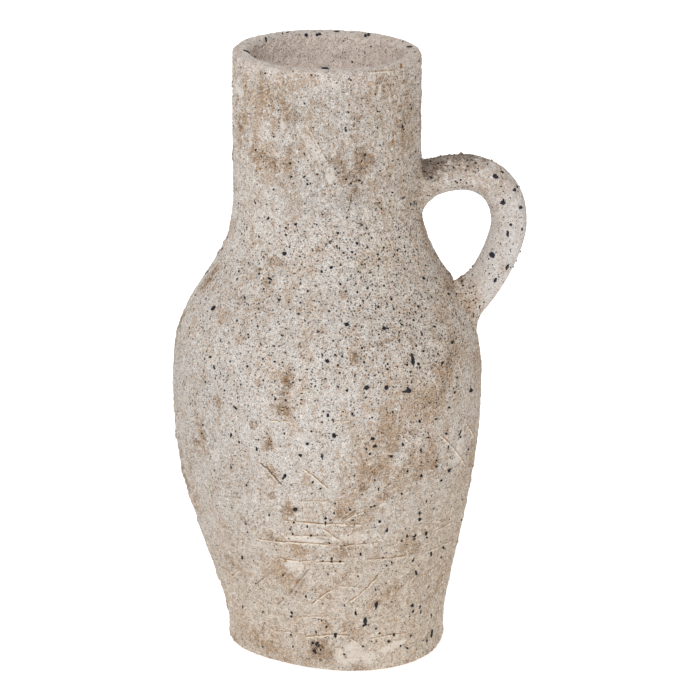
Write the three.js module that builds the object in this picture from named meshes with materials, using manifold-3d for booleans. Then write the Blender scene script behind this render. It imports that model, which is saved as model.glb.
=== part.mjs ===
// One-handled jug vase of coarse, grit-filled stoneware, in millimetres, +Z up.
// It is raised by hand on a round base slab in courses of clay, closed with a rim coil, and a rolled
// handle is luted to the neck and the shoulder. Every luted joint leaves a thin film of slip.
// The origin is the middle of the foot's flat underside, and the handle is on the +X side.
import * as THREE from "three";
import { mergeVertices } from "three/addons/utils/BufferGeometryUtils.js";
import Module from "manifold-3d";

// Vessel
const HEIGHT = 310; // table to lip
const WALL = 8;
const FOOT_RADIUS = 53.9;
const FOOT_HEIGHT = 11; // thickness of the base slab, which is also the floor of the vessel
const FOOT_EDGE = 1.6; // rounding of the slab's lower edge
const BELLY_RADIUS = 78.3;
const BELLY_Z = 139.5; // height of the widest line
const NECK_RADIUS = 46.7;
const NECK_Z = 241; // where the shoulder has swept up into the straight neck
const RIM_HEIGHT = 9;
const LIP_OUTER_ROUND = 1.5;
const LIP_INNER_ROUND = 3;

// Shape of the sweep from foot to belly and from belly to neck, as shares of each rise
const FOOT_LEAVES = 0.21;
const FOOT_FLARE = 0.1; // outward run for each unit of height where the wall leaves the foot
const BELLY_FILLS_BELOW = 0.47;
const BELLY_FILLS_ABOVE = 0.55;
const NECK_SWEEPS = 0.51;

// Courses of the wall, by the height of the seam on the outside
const LOWER_SEAM_Z = 75;
const BELLY_SEAM_Z = 150;
const NECK_SEAM_Z = 225;
const SCARF = 4; // each seam is bevelled, this much higher on the inside
const SLIP_FILM = 0.4; // gap that the luting slip fills

// Handle: a round roll of clay in a loop
const HANDLE_RADIUS = 9.05;
const HANDLE_DROP = 68.2; // from the lip down to the upper root
const HANDLE_SPAN = 63.4; // from the upper root down to the lower root
const HANDLE_REACH = 45; // from the upper root out to the middle of the roll
const HANDLE_LIFT = THREE.MathUtils.degToRad(25); // the roll leaves the neck rising
const HANDLE_RETURN = THREE.MathUtils.degToRad(42); // and comes back this far off the vertical
const HANDLE_WIDEST = 0.32; // share of the span at which the loop is furthest out
const HANDLE_CROWN = 0.69; // fullness of the loop over the crown, as a share of the reach
const HANDLE_BACK = 0.33; // fullness down the back and at the lower root, as a share of the span
const HANDLE_TUCK = 0.13; // fullness just below the furthest point, as a share of the span

// Welds: clay worked into the corner round each root, thicker on the inside of the loop
const WELD_FLARE = 3.6;
const WELD_INWARD = 1.6;
const WELD_LENGTH = 14;
const WELD_EDGE = 0.8; // thickness left at the feathered end

// What the hand and the kiln did to the true form
const LEAN = 7; // the body stands this far off the foot, away from the handle
const LEAN_ENDS_Z = 95; // height at which it stands upright
const FOOT_OVAL = 0.9; // the foot is a little wider across than deep
const FOOT_LOBE = 2.7; // and a little three-cornered
const FOOT_LOBE_TURN = THREE.MathUtils.degToRad(-67.5);
const FOOT_TRUE_Z = 80; // height at which the body has become round
const RIM_DIP = 1.5; // the lip is lower on the handle's side by this much

// Fineness of the surfaces
const ROUND_SEGMENTS = 48;
const COURSE_STEPS = 6;
const ROUND_STEPS = 4;
const ROLL_SIDES = 16;
const ROLL_STEPS = 28;
const WELD_STEPS = 8;
const LINING_STEP = 1;

// Colours of the fired clay, and how matte it is where it was left rough and where it was wiped
const SLAB_CLAY = 0xa99b8d;
const LOWER_CLAY = 0xafa091;
const BELLY_CLAY = 0xb8aa9b;
const SHOULDER_CLAY = 0xb6a99b;
const NECK_CLAY = 0xb9ac9f;
const RIM_CLAY = 0xb5aaa0;
const HANDLE_CLAY = 0xbfb5aa;
const WELD_CLAY = 0xb7aca0;
const ROUGH = 0.95;
const WIPED = 0.9;

const wasm = await Module();
wasm.setup();

const point = (radius, z) => new THREE.Vector2(radius, z);

// Outer line of the vessel

const bellyRise = BELLY_Z - FOOT_HEIGHT;
const neckRise = NECK_Z - BELLY_Z;
const footLeave = FOOT_LEAVES * bellyRise;
const lowerSweep = new THREE.CubicBezierCurve(
  point(FOOT_RADIUS, FOOT_HEIGHT),
  point(FOOT_RADIUS + FOOT_FLARE * footLeave, FOOT_HEIGHT + footLeave),
  point(BELLY_RADIUS, BELLY_Z - BELLY_FILLS_BELOW * bellyRise),
  point(BELLY_RADIUS, BELLY_Z),
);
const upperSweep = new THREE.CubicBezierCurve(
  point(BELLY_RADIUS, BELLY_Z),
  point(BELLY_RADIUS, BELLY_Z + BELLY_FILLS_ABOVE * neckRise),
  point(NECK_RADIUS, NECK_Z - NECK_SWEEPS * neckRise),
  point(NECK_RADIUS, NECK_Z),
);

// Point of a sweep at a height. Both sweeps rise all the way, so halving finds it.
function onSweep(sweep, z) {
  let low = 0;
  let high = 1;
  while (high - low > 1e-6) {
    const middle = (low + high) / 2;
    if (sweep.getPoint(middle).y < z) low = middle;
    else high = middle;
  }
  return { radius: sweep.getPoint(low).x, tangent: sweep.getTangent(low) };
}

function outerLine(z) {
  if (z <= FOOT_HEIGHT) return { radius: FOOT_RADIUS, tangent: point(0, 1) };
  if (z < BELLY_Z) return onSweep(lowerSweep, z);
  if (z < NECK_Z) return onSweep(upperSweep, z);
  return { radius: NECK_RADIUS, tangent: point(0, 1) };
}

// Inner line: the outer one moved in by the wall, square to the surface

const lining = [];
for (let z = FOOT_HEIGHT; z <= HEIGHT; z += LINING_STEP) {
  const { radius, tangent } = outerLine(z);
  lining.push(point(radius - WALL * tangent.y, z + WALL * tangent.x));
}

function innerRadius(z) {
  const above = lining.findIndex((p) => p.y >= z);
  if (above < 0) return lining.at(-1).x;
  if (above === 0) return lining[0].x;
  const [p, q] = [lining[above - 1], lining[above]];
  return THREE.MathUtils.mapLinear(z, p.y, q.y, p.x, q.x);
}

// Turns a closed or axis-to-axis profile of (radius, z) points round the Z axis.
function turned(profile) {
  return new THREE.LatheGeometry(profile, ROUND_SEGMENTS).rotateX(Math.PI / 2);
}

function steps(from, to, count) {
  return Array.from({ length: count + 1 }, (_, i) => from + ((to - from) * i) / count);
}

// A rounded corner as points from one angle to another, in degrees.
function corner(radius, z, round, fromDegrees, toDegrees) {
  const arc = new THREE.EllipseCurve(
    radius,
    z,
    round,
    round,
    THREE.MathUtils.degToRad(fromDegrees),
    THREE.MathUtils.degToRad(toDegrees),
    toDegrees < fromDegrees,
  );
  return arc.getPoints(ROUND_STEPS);
}

// Pieces of the vessel

function baseSlab() {
  return turned([
    point(0, 0),
    ...corner(FOOT_RADIUS - FOOT_EDGE, FOOT_EDGE, FOOT_EDGE, -90, 0),
    point(FOOT_RADIUS, FOOT_HEIGHT),
    point(0, FOOT_HEIGHT),
  ]);
}

// The courses from the slab up, each with the bevel of the seam that it stands on.
const rimSeamZ = HEIGHT - RIM_HEIGHT;
const courses = [
  { name: "lower_wall", seam: FOOT_HEIGHT, bevel: 0, top: LOWER_SEAM_Z, color: LOWER_CLAY },
  { name: "belly_wall", seam: LOWER_SEAM_Z, bevel: SCARF, top: BELLY_SEAM_Z, color: BELLY_CLAY },
  { name: "shoulder_wall", seam: BELLY_SEAM_Z, bevel: SCARF, top: NECK_SEAM_Z, color: SHOULDER_CLAY },
  { name: "neck_wall", seam: NECK_SEAM_Z, bevel: SCARF, top: rimSeamZ, color: NECK_CLAY },
];

// One course of the wall, from the slip on the seam below it up to the next seam.
function course(seam, bevel, top) {
  const bottom = seam + SLIP_FILM;
  const outside = steps(bottom, top, COURSE_STEPS).map((z) => point(outerLine(z).radius, z));
  const inside = steps(top + SCARF, bottom + bevel, COURSE_STEPS).map((z) => point(innerRadius(z), z));
  return turned([...outside, ...inside, outside[0].clone()]);
}

function rimCoil(bottom) {
  const bore = NECK_RADIUS - WALL;
  const start = point(NECK_RADIUS, bottom);
  return turned([
    start,
    ...corner(NECK_RADIUS - LIP_OUTER_ROUND, HEIGHT - LIP_OUTER_ROUND, LIP_OUTER_ROUND, 0, 90),
    ...corner(bore + LIP_INNER_ROUND, HEIGHT - LIP_INNER_ROUND, LIP_INNER_ROUND, 90, 180),
    point(bore, bottom + SCARF),
    start.clone(),
  ]);
}

// Handle and its welds, cut to the vessel's outside

const upperRootZ = HEIGHT - HANDLE_DROP;
const lowerRootZ = upperRootZ - HANDLE_SPAN;
const upperRoot = new THREE.Vector3(outerLine(upperRootZ).radius, 0, upperRootZ);
const lowerRoot = new THREE.Vector3(outerLine(lowerRootZ).radius, 0, lowerRootZ);
const widest = new THREE.Vector3(upperRoot.x + HANDLE_REACH, 0, upperRootZ - HANDLE_WIDEST * HANDLE_SPAN);
const leaving = new THREE.Vector3(Math.cos(HANDLE_LIFT), 0, Math.sin(HANDLE_LIFT));
const returning = new THREE.Vector3(-Math.sin(HANDLE_RETURN), 0, -Math.cos(HANDLE_RETURN));
const down = new THREE.Vector3(0, 0, -1);
const buriedLength = HANDLE_RADIUS + WELD_FLARE; // of roll past each root, cut away by the vessel

const along = (from, direction, distance) => from.clone().addScaledVector(direction, distance);

function handlePath() {
  const crown = along(upperRoot, leaving, HANDLE_CROWN * HANDLE_REACH);
  const back = along(widest, down, -HANDLE_BACK * HANDLE_SPAN);
  const tuck = along(widest, down, HANDLE_TUCK * HANDLE_SPAN);
  const approach = along(lowerRoot, returning, -HANDLE_BACK * HANDLE_SPAN);
  const route = new THREE.CurvePath();
  route.add(new THREE.LineCurve3(along(upperRoot, leaving, -buriedLength), upperRoot));
  route.add(new THREE.CubicBezierCurve3(upperRoot, crown, back, widest));
  route.add(new THREE.CubicBezierCurve3(widest, tuck, approach, lowerRoot));
  route.add(new THREE.LineCurve3(lowerRoot, along(lowerRoot, returning, buriedLength)));
  return route;
}

const path = handlePath();
const pathLength = path.getLength();

// A round roll of one thickness along the whole path.
function rollOf(radius) {
  const section = new THREE.Shape();
  section.absarc(0, 0, radius, 0, 2 * Math.PI);
  return new THREE.ExtrudeGeometry(section, {
    extrudePath: path,
    steps: ROLL_STEPS,
    curveSegments: ROLL_SIDES / 2,
    bevelEnabled: false,
  });
}

// A cylinder bent along the path between two lengths. Its radius, and how far its middle lies off the
// path towards the inside of the loop, are given by the length.
function bentRoll(fromLength, toLength, radiusAt, inwardAt) {
  const span = toLength - fromLength;
  const geometry = new THREE.CylinderGeometry(1, 1, span, ROLL_SIDES, WELD_STEPS);
  const position = geometry.getAttribute("position");
  for (let i = 0; i < position.count; i++) {
    const length = fromLength + span / 2 + position.getY(i);
    const centre = path.getPointAt(length / pathLength);
    const tangent = path.getTangentAt(length / pathLength);
    const outward = new THREE.Vector3(-tangent.z, 0, tangent.x);
    const spot = along(centre, outward, radiusAt(length) * position.getX(i) - inwardAt(length));
    position.setXYZ(i, spot.x, radiusAt(length) * position.getZ(i), spot.z);
  }
  return geometry;
}

// A closed geometry as a solid for cutting, and the cut solid as a geometry again.
function solidOf(geometry) {
  const bare = geometry.clone();
  bare.deleteAttribute("normal");
  bare.deleteAttribute("uv");
  const merged = mergeVertices(bare);
  const triVerts = [];
  const corners = merged.index.array;
  for (let i = 0; i < corners.length; i += 3) {
    const [a, b, c] = corners.slice(i, i + 3);
    if (a !== b && b !== c && c !== a) triVerts.push(a, b, c);
  }
  return new wasm.Manifold(
    new wasm.Mesh({
      numProp: 3,
      vertProperties: merged.attributes.position.array,
      triVerts: new Uint32Array(triVerts),
    }),
  );
}

function geometryOf(solid) {
  const { vertProperties, triVerts } = solid.getMesh();
  return new THREE.BufferGeometry()
    .setAttribute("position", new THREE.BufferAttribute(vertProperties, 3))
    .setIndex(new THREE.BufferAttribute(triVerts, 1));
}

// The whole vessel with its mouth closed, grown by the slip film: what the handle is cut back from.
function vesselBlank() {
  const heights = courses.flatMap(({ seam, top }) => steps(seam + SLIP_FILM, top, COURSE_STEPS));
  const skin = [...heights, HEIGHT].map((z) => {
    const { radius, tangent } = outerLine(z);
    return point(radius + SLIP_FILM / tangent.y, z);
  });
  return solidOf(turned([point(0, skin[0].y), ...skin, point(0, HEIGHT)]));
}

const blank = vesselBlank();

function handle() {
  return geometryOf(solidOf(rollOf(HANDLE_RADIUS)).subtract(blank));
}

// A collar of clay that thins out along the roll, away from the root that it is worked round.
function weld(rootLength, direction) {
  const fullness = (length) => {
    const away = THREE.MathUtils.clamp(((length - rootLength) * direction) / WELD_LENGTH, 0, 1);
    return (1 - away) ** 2;
  };
  const radiusAt = (length) => HANDLE_RADIUS + SLIP_FILM + WELD_EDGE + WELD_FLARE * fullness(length);
  const inwardAt = (length) => WELD_INWARD * fullness(length);
  const buried = rootLength - buriedLength * direction;
  const feathered = rootLength + WELD_LENGTH * direction;
  const [from, to] = [Math.min(buried, feathered), Math.max(buried, feathered)];
  const flare = solidOf(bentRoll(from, to, radiusAt, inwardAt));
  return geometryOf(flare.subtract(solidOf(rollOf(HANDLE_RADIUS + SLIP_FILM))).subtract(blank));
}

// The lean, the three-cornered foot and the dipping lip, applied to a finished piece.
function settled(geometry) {
  const { smoothstep } = THREE.MathUtils;
  const position = geometry.getAttribute("position");
  const oval = (angle) => FOOT_OVAL * Math.cos(2 * angle);
  const lobes = (angle) => FOOT_LOBE * Math.cos(3 * (angle - FOOT_LOBE_TURN));
  for (let i = 0; i < position.count; i++) {
    const [x, y, z] = [position.getX(i), position.getY(i), position.getZ(i)];
    const angle = Math.atan2(y, x);
    const uneven = (oval(angle) + lobes(angle)) / FOOT_RADIUS;
    const swell = 1 + uneven * (1 - smoothstep(z, 0, FOOT_TRUE_Z));
    const shift = LEAN * smoothstep(z, 0, LEAN_ENDS_Z);
    const dip = (RIM_DIP / 2) * (x / NECK_RADIUS) * smoothstep(z, upperRootZ, HEIGHT);
    position.setXYZ(i, x * swell - shift, y * swell, z - dip);
  }
  geometry.computeVertexNormals();
  return geometry;
}

// Assembly, from the table up

function piece(name, geometry, color, roughness) {
  const material = new THREE.MeshStandardMaterial({ color, roughness, metalness: 0 });
  const mesh = new THREE.Mesh(settled(geometry), material);
  mesh.name = name;
  return mesh;
}

const vessel = new THREE.Group();
vessel.add(piece("base_slab", baseSlab(), SLAB_CLAY, ROUGH));
for (const { name, seam, bevel, top, color } of courses) {
  vessel.add(piece(name, course(seam, bevel, top), color, ROUGH));
}
vessel.add(piece("rim_coil", rimCoil(rimSeamZ + SLIP_FILM), RIM_CLAY, WIPED));

const grip = new THREE.Group();
grip.add(piece("handle", handle(), HANDLE_CLAY, WIPED));
grip.add(piece("upper_handle_weld", weld(buriedLength, 1), WELD_CLAY, ROUGH));
grip.add(piece("lower_handle_weld", weld(pathLength - buriedLength, -1), WELD_CLAY, ROUGH));

const jug = new THREE.Group();
jug.add(vessel, grip);
export default jug;
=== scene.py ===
import math
from functools import partial

import bpy
import numpy as np
from mathutils import Matrix, Vector
from mathutils.bvhtree import BVHTree


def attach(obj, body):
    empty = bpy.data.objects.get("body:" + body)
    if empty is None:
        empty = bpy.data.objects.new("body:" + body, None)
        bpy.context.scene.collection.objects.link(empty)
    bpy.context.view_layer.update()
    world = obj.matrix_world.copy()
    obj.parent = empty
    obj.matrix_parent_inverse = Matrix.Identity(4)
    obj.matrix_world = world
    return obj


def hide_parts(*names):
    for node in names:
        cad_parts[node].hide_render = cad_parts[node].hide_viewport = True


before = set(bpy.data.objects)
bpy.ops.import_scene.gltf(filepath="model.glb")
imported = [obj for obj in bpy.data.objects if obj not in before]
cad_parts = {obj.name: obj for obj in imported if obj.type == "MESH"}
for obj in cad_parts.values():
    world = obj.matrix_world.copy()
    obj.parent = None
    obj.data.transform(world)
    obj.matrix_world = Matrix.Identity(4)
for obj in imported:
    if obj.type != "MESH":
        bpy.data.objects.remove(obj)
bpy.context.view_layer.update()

# The view. The jug was photographed from a little over two metres with a long lens, slightly from
# above. What is placed by a pixel of the photograph is placed through this same camera.
PHOTO_PX = 700
FOCAL_PX = 4776
PX_ACROSS = 0.000508
SENSOR_MM = 36
SEES_TO = 30
CAMERA_AT = np.array((0.0046, -2.325, 0.8491))
LOOKS_DOWN = math.radians(16.65)
SIGHT = np.array((0, math.cos(LOOKS_DOWN), -math.sin(LOOKS_DOWN)))
SIGHT_RIGHT = np.array((1.0, 0, 0))
SIGHT_UP = np.array((0, math.sin(LOOKS_DOWN), math.cos(LOOKS_DOWN)))


def put_up(name, data):
    """A new object of the scene, at the origin."""
    made = bpy.data.objects.new(name, data)
    bpy.context.scene.collection.objects.link(made)
    return made


photo_lens = bpy.data.cameras.new("photo_lens")
photo_lens.sensor_width = SENSOR_MM
photo_lens.lens = SENSOR_MM * FOCAL_PX / PHOTO_PX
photo_lens.clip_end = SEES_TO
photo_camera = put_up("photo_camera", photo_lens)
photo_camera.location = CAMERA_AT
photo_camera.rotation_euler = (math.pi / 2 - LOOKS_DOWN, 0, 0)
bpy.context.scene.camera = photo_camera


def unit(way):
    """The same direction, one long."""
    return way / np.linalg.norm(way, axis=-1, keepdims=True)


def sight_line(u, v):
    """The unit direction from the camera through a pixel of the photograph."""
    right = (u - PHOTO_PX / 2) / FOCAL_PX
    up = (PHOTO_PX / 2 - v) / FOCAL_PX
    return unit(SIGHT + right * SIGHT_RIGHT + up * SIGHT_UP)


# The base slab. A disc of coarse clay beaten flat, which is both the foot and the floor of the jug.
# Its edge was pressed by hand, so it is out of round, and the first course was luted onto it.
HEIGHT = 0.310
WALL = 0.008
FOOT_RADIUS = 0.0539
FOOT_HEIGHT = 0.011
FOOT_EDGE = 0.0016
BELLY_RADIUS = 0.0783
BELLY_Z = 0.1395
NECK_RADIUS = 0.0467
NECK_Z = 0.241
FOOT_LEAVES = 0.21
FOOT_FLARE = 0.1
BELLY_FILLS_BELOW = 0.47
BELLY_FILLS_ABOVE = 0.55
NECK_SWEEPS = 0.51
LINE_STEPS = 1500
LEAN = 0.007
LEAN_ENDS_Z = 0.095
FOOT_OVAL = 0.0009
FOOT_LOBE = 0.0027
FOOT_LOBE_TURN = math.radians(-67.5)
FOOT_TRUE_Z = 0.080
RIM_DIP = 0.0015
HANDLE_TOP_Z = 0.2418
ROUND_STEPS = 640
SKIN_STEP = 0.00066
LINING_STEP = 0.0026


def bent_line(a, b, c, d, steps):
    """Points along a cubic curve from a to d that leaves towards b and comes in from c."""
    t = np.linspace(0, 1, steps)[:, None]
    a, b, c, d = np.array(a), np.array(b), np.array(c), np.array(d)
    return (1 - t) ** 3 * a + 3 * (1 - t) ** 2 * t * b + 3 * (1 - t) * t ** 2 * c + t ** 3 * d


foot_rise = BELLY_Z - FOOT_HEIGHT
neck_rise = NECK_Z - BELLY_Z
leaves = FOOT_LEAVES * foot_rise
outer_line = np.concatenate([
    [(FOOT_RADIUS, 0)],
    bent_line((FOOT_RADIUS, FOOT_HEIGHT), (FOOT_RADIUS + FOOT_FLARE * leaves, FOOT_HEIGHT + leaves),
              (BELLY_RADIUS, BELLY_Z - BELLY_FILLS_BELOW * foot_rise), (BELLY_RADIUS, BELLY_Z), LINE_STEPS),
    bent_line((BELLY_RADIUS, BELLY_Z), (BELLY_RADIUS, BELLY_Z + BELLY_FILLS_ABOVE * neck_rise),
              (NECK_RADIUS, NECK_Z - NECK_SWEEPS * neck_rise), (NECK_RADIUS, NECK_Z), LINE_STEPS)[1:],
    [(NECK_RADIUS, HEIGHT)],
])
line_way = unit(np.gradient(outer_line, axis=0))
inner_line = outer_line - WALL * np.stack([line_way[:, 1], -line_way[:, 0]], axis=1)


def outer_radius(z):
    return np.interp(z, outer_line[:, 1], outer_line[:, 0])


def inner_radius(z):
    return np.interp(z, inner_line[:, 1], inner_line[:, 0])


def eased(value, start, end):
    """0 before start, 1 after end, and smooth between them."""
    t = np.clip((value - start) / (end - start), 0, 1)
    return t * t * (3 - 2 * t)


def band(value, rise, fall):
    """1 between two soft edges, and 0 outside them."""
    return eased(value, *rise) * (1 - eased(value, *fall))


def leaned(z):
    """How far the jug's axis has moved to the left at a height."""
    return LEAN * eased(z, 0, LEAN_ENDS_Z)


def foot_swell(angle, z):
    uneven = FOOT_OVAL * np.cos(2 * angle) + FOOT_LOBE * np.cos(3 * (angle - FOOT_LOBE_TURN))
    return 1 + uneven / FOOT_RADIUS * (1 - eased(z, 0, FOOT_TRUE_Z))


def settled(points):
    """The true round shape as it stands after firing: it leans, and its foot and rim are uneven."""
    x, y, z = points.T
    swell = foot_swell(np.arctan2(y, x), z)
    dip = RIM_DIP / 2 * x / NECK_RADIUS * eased(z, HANDLE_TOP_Z, HEIGHT)
    return np.stack([x * swell - leaned(z), y * swell, z - dip], axis=1)


def stands_off(points):
    """How far points lie outside the jug's plain outer skin."""
    x, y, z = points.T
    x = x + leaned(z)
    return np.hypot(x, y) / foot_swell(np.arctan2(y, x), z) - outer_radius(z)


def skin_at(angle, z):
    """Points on the plain outer skin, and which way they face."""
    angle, z = np.broadcast_arrays(np.asarray(angle, float), np.asarray(z, float))
    radius = outer_radius(z)
    step = 0.0004
    slope = (outer_radius(z + step) - outer_radius(z - step)) / (2 * step)
    across, deep = np.cos(angle), np.sin(angle)
    points = settled(np.stack([radius * across, radius * deep, z], axis=1))
    return points, unit(np.stack([across, deep, -slope], axis=1))


SIGHT_NEAR = 2.15
SIGHT_FAR = 2.62
SIGHT_STEPS = 700
SIGHT_HALVINGS = 24


def seen_on_skin(u, v):
    """The point of the plain outer skin that shows at a pixel of the photograph, and its facing."""
    line = sight_line(u, v)
    reach = np.linspace(SIGHT_NEAR, SIGHT_FAR, SIGHT_STEPS)
    off = stands_off(CAMERA_AT + reach[:, None] * line)
    first = int(np.argmax(off < 0)) if (off < 0).any() else int(np.argmin(off))
    near, far = reach[max(first - 1, 0)], reach[first]
    for _ in range(SIGHT_HALVINGS):
        middle = (near + far) / 2
        if stands_off((CAMERA_AT + middle * line)[None])[0] < 0:
            far = middle
        else:
            near = middle
    spot = CAMERA_AT + far * line
    angle = math.atan2(spot[1], spot[0] + leaned(spot[2]))
    return spot, skin_at([angle], [spot[2]])[1][0]


LEAST_SLANT = -0.05
MOST_STRETCH = 2.2


def axes_seen(middle, facing, u, v, half_wide, half_tall, lean):
    """A mark's two half-axes on the skin, from its half-sizes in pixels and its lean to the right."""
    turn = math.radians(lean)
    axes = []
    for du, dv in ((half_wide * math.cos(turn), half_wide * math.sin(turn)),
                   (half_tall * math.sin(turn), -half_tall * math.cos(turn))):
        line = sight_line(u + du, v + dv)
        flat = np.dot(middle - CAMERA_AT, facing) / min(np.dot(line, facing), LEAST_SLANT)
        axis = CAMERA_AT + flat * line - middle
        axis -= np.dot(axis, facing) * facing
        most = MOST_STRETCH * PX_ACROSS * math.hypot(du, dv)
        axes.append(axis * min(1, most / np.linalg.norm(axis)))
    return axes


def patch_seen(u, v, half_wide, half_tall, lean):
    """A patch's middle, its two half-axes on the skin, and its facing, from its look in the photograph."""
    middle, facing = seen_on_skin(u, v)
    return middle, *axes_seen(middle, facing, u, v, half_wide, half_tall, lean), facing


def patches_seen(marks):
    return [patch_seen(*mark) for mark in marks]


def patch_at(angle, z, half_wide, half_tall, lean):
    """The same for a patch on a side that the photograph doesn't show, with its sizes in metres."""
    points, facings = skin_at([angle], [z])
    facing = facings[0]
    right = unit(np.cross((0, 0, 1), facing))
    rise = np.cross(facing, right)
    turn = math.radians(lean)
    wide = half_wide * (math.cos(turn) * right - math.sin(turn) * rise)
    tall = half_tall * (math.sin(turn) * right + math.cos(turn) * rise)
    return points[0], wide, tall, facing


PATCH_REACH = 2.2
SAME_SIDE = 0.2


def patch_depth(points, facings, patches):
    """1 in the middle of the nearest patch, 0.5 at its edge, and 0 well outside."""
    depth = np.zeros(len(points))
    for middle, wide, tall, facing in patches:
        reach = PATCH_REACH * max(np.linalg.norm(wide), np.linalg.norm(tall))
        near = np.nonzero(np.linalg.norm(points - middle, axis=1) < reach)[0]
        near = near[facings[near] @ facing > SAME_SIDE]
        across = (points[near] - middle) @ wide / (wide @ wide)
        along = (points[near] - middle) @ tall / (tall @ tall)
        depth[near] = np.maximum(depth[near], np.clip(1 - np.hypot(across, along) / 2, 0, 1))
    return depth


STROKE_STEP_PX = 3
STROKE_REACH = 0.0022
STROKE_FADES = (0.0011, 0.0019)
STROKE_RUNS_IN = (0, 0.12)
STROKE_RUNS_OUT = (0.86, 1)


def stroke_seen(pixels):
    """A tool stroke's points on the skin, and their facings, from its corners in the photograph."""
    found = []
    for (u0, v0), (u1, v1) in zip(pixels[:-1], pixels[1:]):
        steps = max(2, int(math.hypot(u1 - u0, v1 - v0) / STROKE_STEP_PX))
        for t in np.linspace(0, 1, steps, endpoint=False):
            found.append(seen_on_skin(u0 + (u1 - u0) * t, v0 + (v1 - v0) * t))
    found.append(seen_on_skin(*pixels[-1]))
    return np.array([spot for spot, _ in found]), np.array([facing for _, facing in found])


def strokes_seen(strokes):
    return [(stroke_seen(pixels), strength) for pixels, strength in strokes]


def stroke_marks(points, facings, strokes):
    """How far to the side of the nearest tool stroke each point lies, and how strong that stroke is."""
    side = np.full(len(points), STROKE_REACH)
    weight = np.zeros(len(points))
    for (spots, ways), strength in strokes:
        low, high = spots.min(axis=0) - STROKE_REACH, spots.max(axis=0) + STROKE_REACH
        near = np.nonzero(((points > low) & (points < high)).all(axis=1))[0]
        lengths = np.linalg.norm(np.diff(spots, axis=0), axis=1)
        starts = np.concatenate([[0], np.cumsum(lengths)])
        for i in range(len(spots) - 1):
            way = (spots[i + 1] - spots[i]) / lengths[i]
            offset = points[near] - spots[i]
            along = np.clip(offset @ way, 0, lengths[i])
            offset = offset - along[:, None] * way
            gap = np.linalg.norm(offset, axis=1)
            picked = (gap < np.abs(side[near])) & (facings[near] @ ways[i] > SAME_SIDE)
            hit = near[picked]
            across = np.sign(offset[picked] @ np.cross(ways[i], way))
            side[hit] = gap[picked] * np.where(across == 0, 1, across)
            ends = band((starts[i] + along[picked]) / starts[-1], STROKE_RUNS_IN, STROKE_RUNS_OUT)
            weight[hit] = strength * ends * (1 - eased(gap[picked], *STROKE_FADES))
    return side, weight


def keep_values(mesh, name, values):
    """Stores one value or vector for each point of a mesh."""
    vector = values.ndim == 2
    layer = mesh.attributes.new(name, "FLOAT_VECTOR" if vector else "FLOAT", "POINT")
    layer.data.foreach_set("vector" if vector else "value", values.astype(np.float32).ravel())


def grid_faces(rows, columns, closed_rows):
    """Four-cornered faces of a grid whose columns run round and whose rows may close on themselves."""
    row = np.arange(rows if closed_rows else rows - 1)[:, None]
    column = np.arange(columns)[None, :]
    here, ahead = row * columns, (row + 1) % rows * columns
    beside = (column + 1) % columns
    corners = [here + column, here + beside, ahead + beside, ahead + column]
    return np.stack(corners, axis=-1).reshape(-1, 4)


def end_fans(rows, columns):
    """Three-cornered faces that close the two ends of an open grid on two middle points kept after it."""
    first = np.arange(columns)
    after = (first + 1) % columns
    last = (rows - 1) * columns
    middle = np.full(columns, rows * columns)
    return np.concatenate([np.stack([middle, after, first], axis=1),
                           np.stack([middle + 1, last + first, last + after], axis=1)])


def piece_from(name, points, faces):
    """A mesh object of those points and faces, turned so that its faces look outwards."""
    solid = 0
    for face in faces:
        corners = points[np.asarray(face)]
        for i in range(1, corners.shape[1] - 1):
            solid += np.einsum("ij,ij->", corners[:, 0], np.cross(corners[:, i], corners[:, i + 1]))
    listed = []
    for face in faces:
        listed += (face if solid > 0 else face[:, ::-1]).tolist()
    mesh = bpy.data.meshes.new(name)
    mesh.from_pydata(points.tolist(), [], listed)
    mesh.shade_smooth()
    return put_up(name, mesh)


def crease_rings(piece, rings, columns):
    """Marks whole rings of a turned piece as sharp corners."""
    mesh = piece.data
    ends = np.zeros(len(mesh.edges) * 2, int)
    mesh.edges.foreach_get("vertices", ends)
    ends = ends.reshape(-1, 2) // columns
    sharp = (ends[:, 0] == ends[:, 1]) & np.isin(ends[:, 0], rings)
    layer = mesh.attributes.new("sharp_edge", "BOOLEAN", "EDGE")
    layer.data.foreach_set("value", sharp)


def fill(tree, node, given):
    """Gives a node's inputs their values, or joins them to what comes out of other nodes."""
    for key, value in given.items():
        if isinstance(value, bpy.types.NodeSocket):
            tree.links.new(value, node.inputs[key])
        else:
            node.inputs[key].default_value = value


def add_node(tree, kind, given=None, **settings):
    """Adds a node with its settings and inputs."""
    made = tree.nodes.new(kind)
    for key, value in settings.items():
        setattr(made, key, value)
    fill(tree, made, given or {})
    return made


def worked(tree, kind, given=None, **settings):
    """Adds a node and gives what comes out of it first."""
    return add_node(tree, kind, given, **settings).outputs[0]


def sums(tree, operation, a, b=0.0, c=0.0, clamp=False):
    """A sum on numbers in a node tree."""
    return worked(tree, "ShaderNodeMath", {0: a, 1: b, 2: c}, operation=operation, use_clamp=clamp)


def sums_in(tree):
    """A tree's commonest sums: a times b, a times b plus c, a less b, and the bare size of a."""
    return [partial(sums, tree, kind) for kind in ("MULTIPLY", "MULTIPLY_ADD", "SUBTRACT", "ABSOLUTE")]


def vectors(tree, operation, *values):
    """A sum on places or colours in a node tree."""
    return worked(tree, "ShaderNodeVectorMath", dict(enumerate(values)), operation=operation)


def scaled(tree, vector, factor):
    """A place or a colour times a number."""
    return worked(tree, "ShaderNodeVectorMath", {0: vector, "Scale": factor}, operation="SCALE")


def in_millimetres(tree, place):
    return scaled(tree, place, 1000.0)


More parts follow.
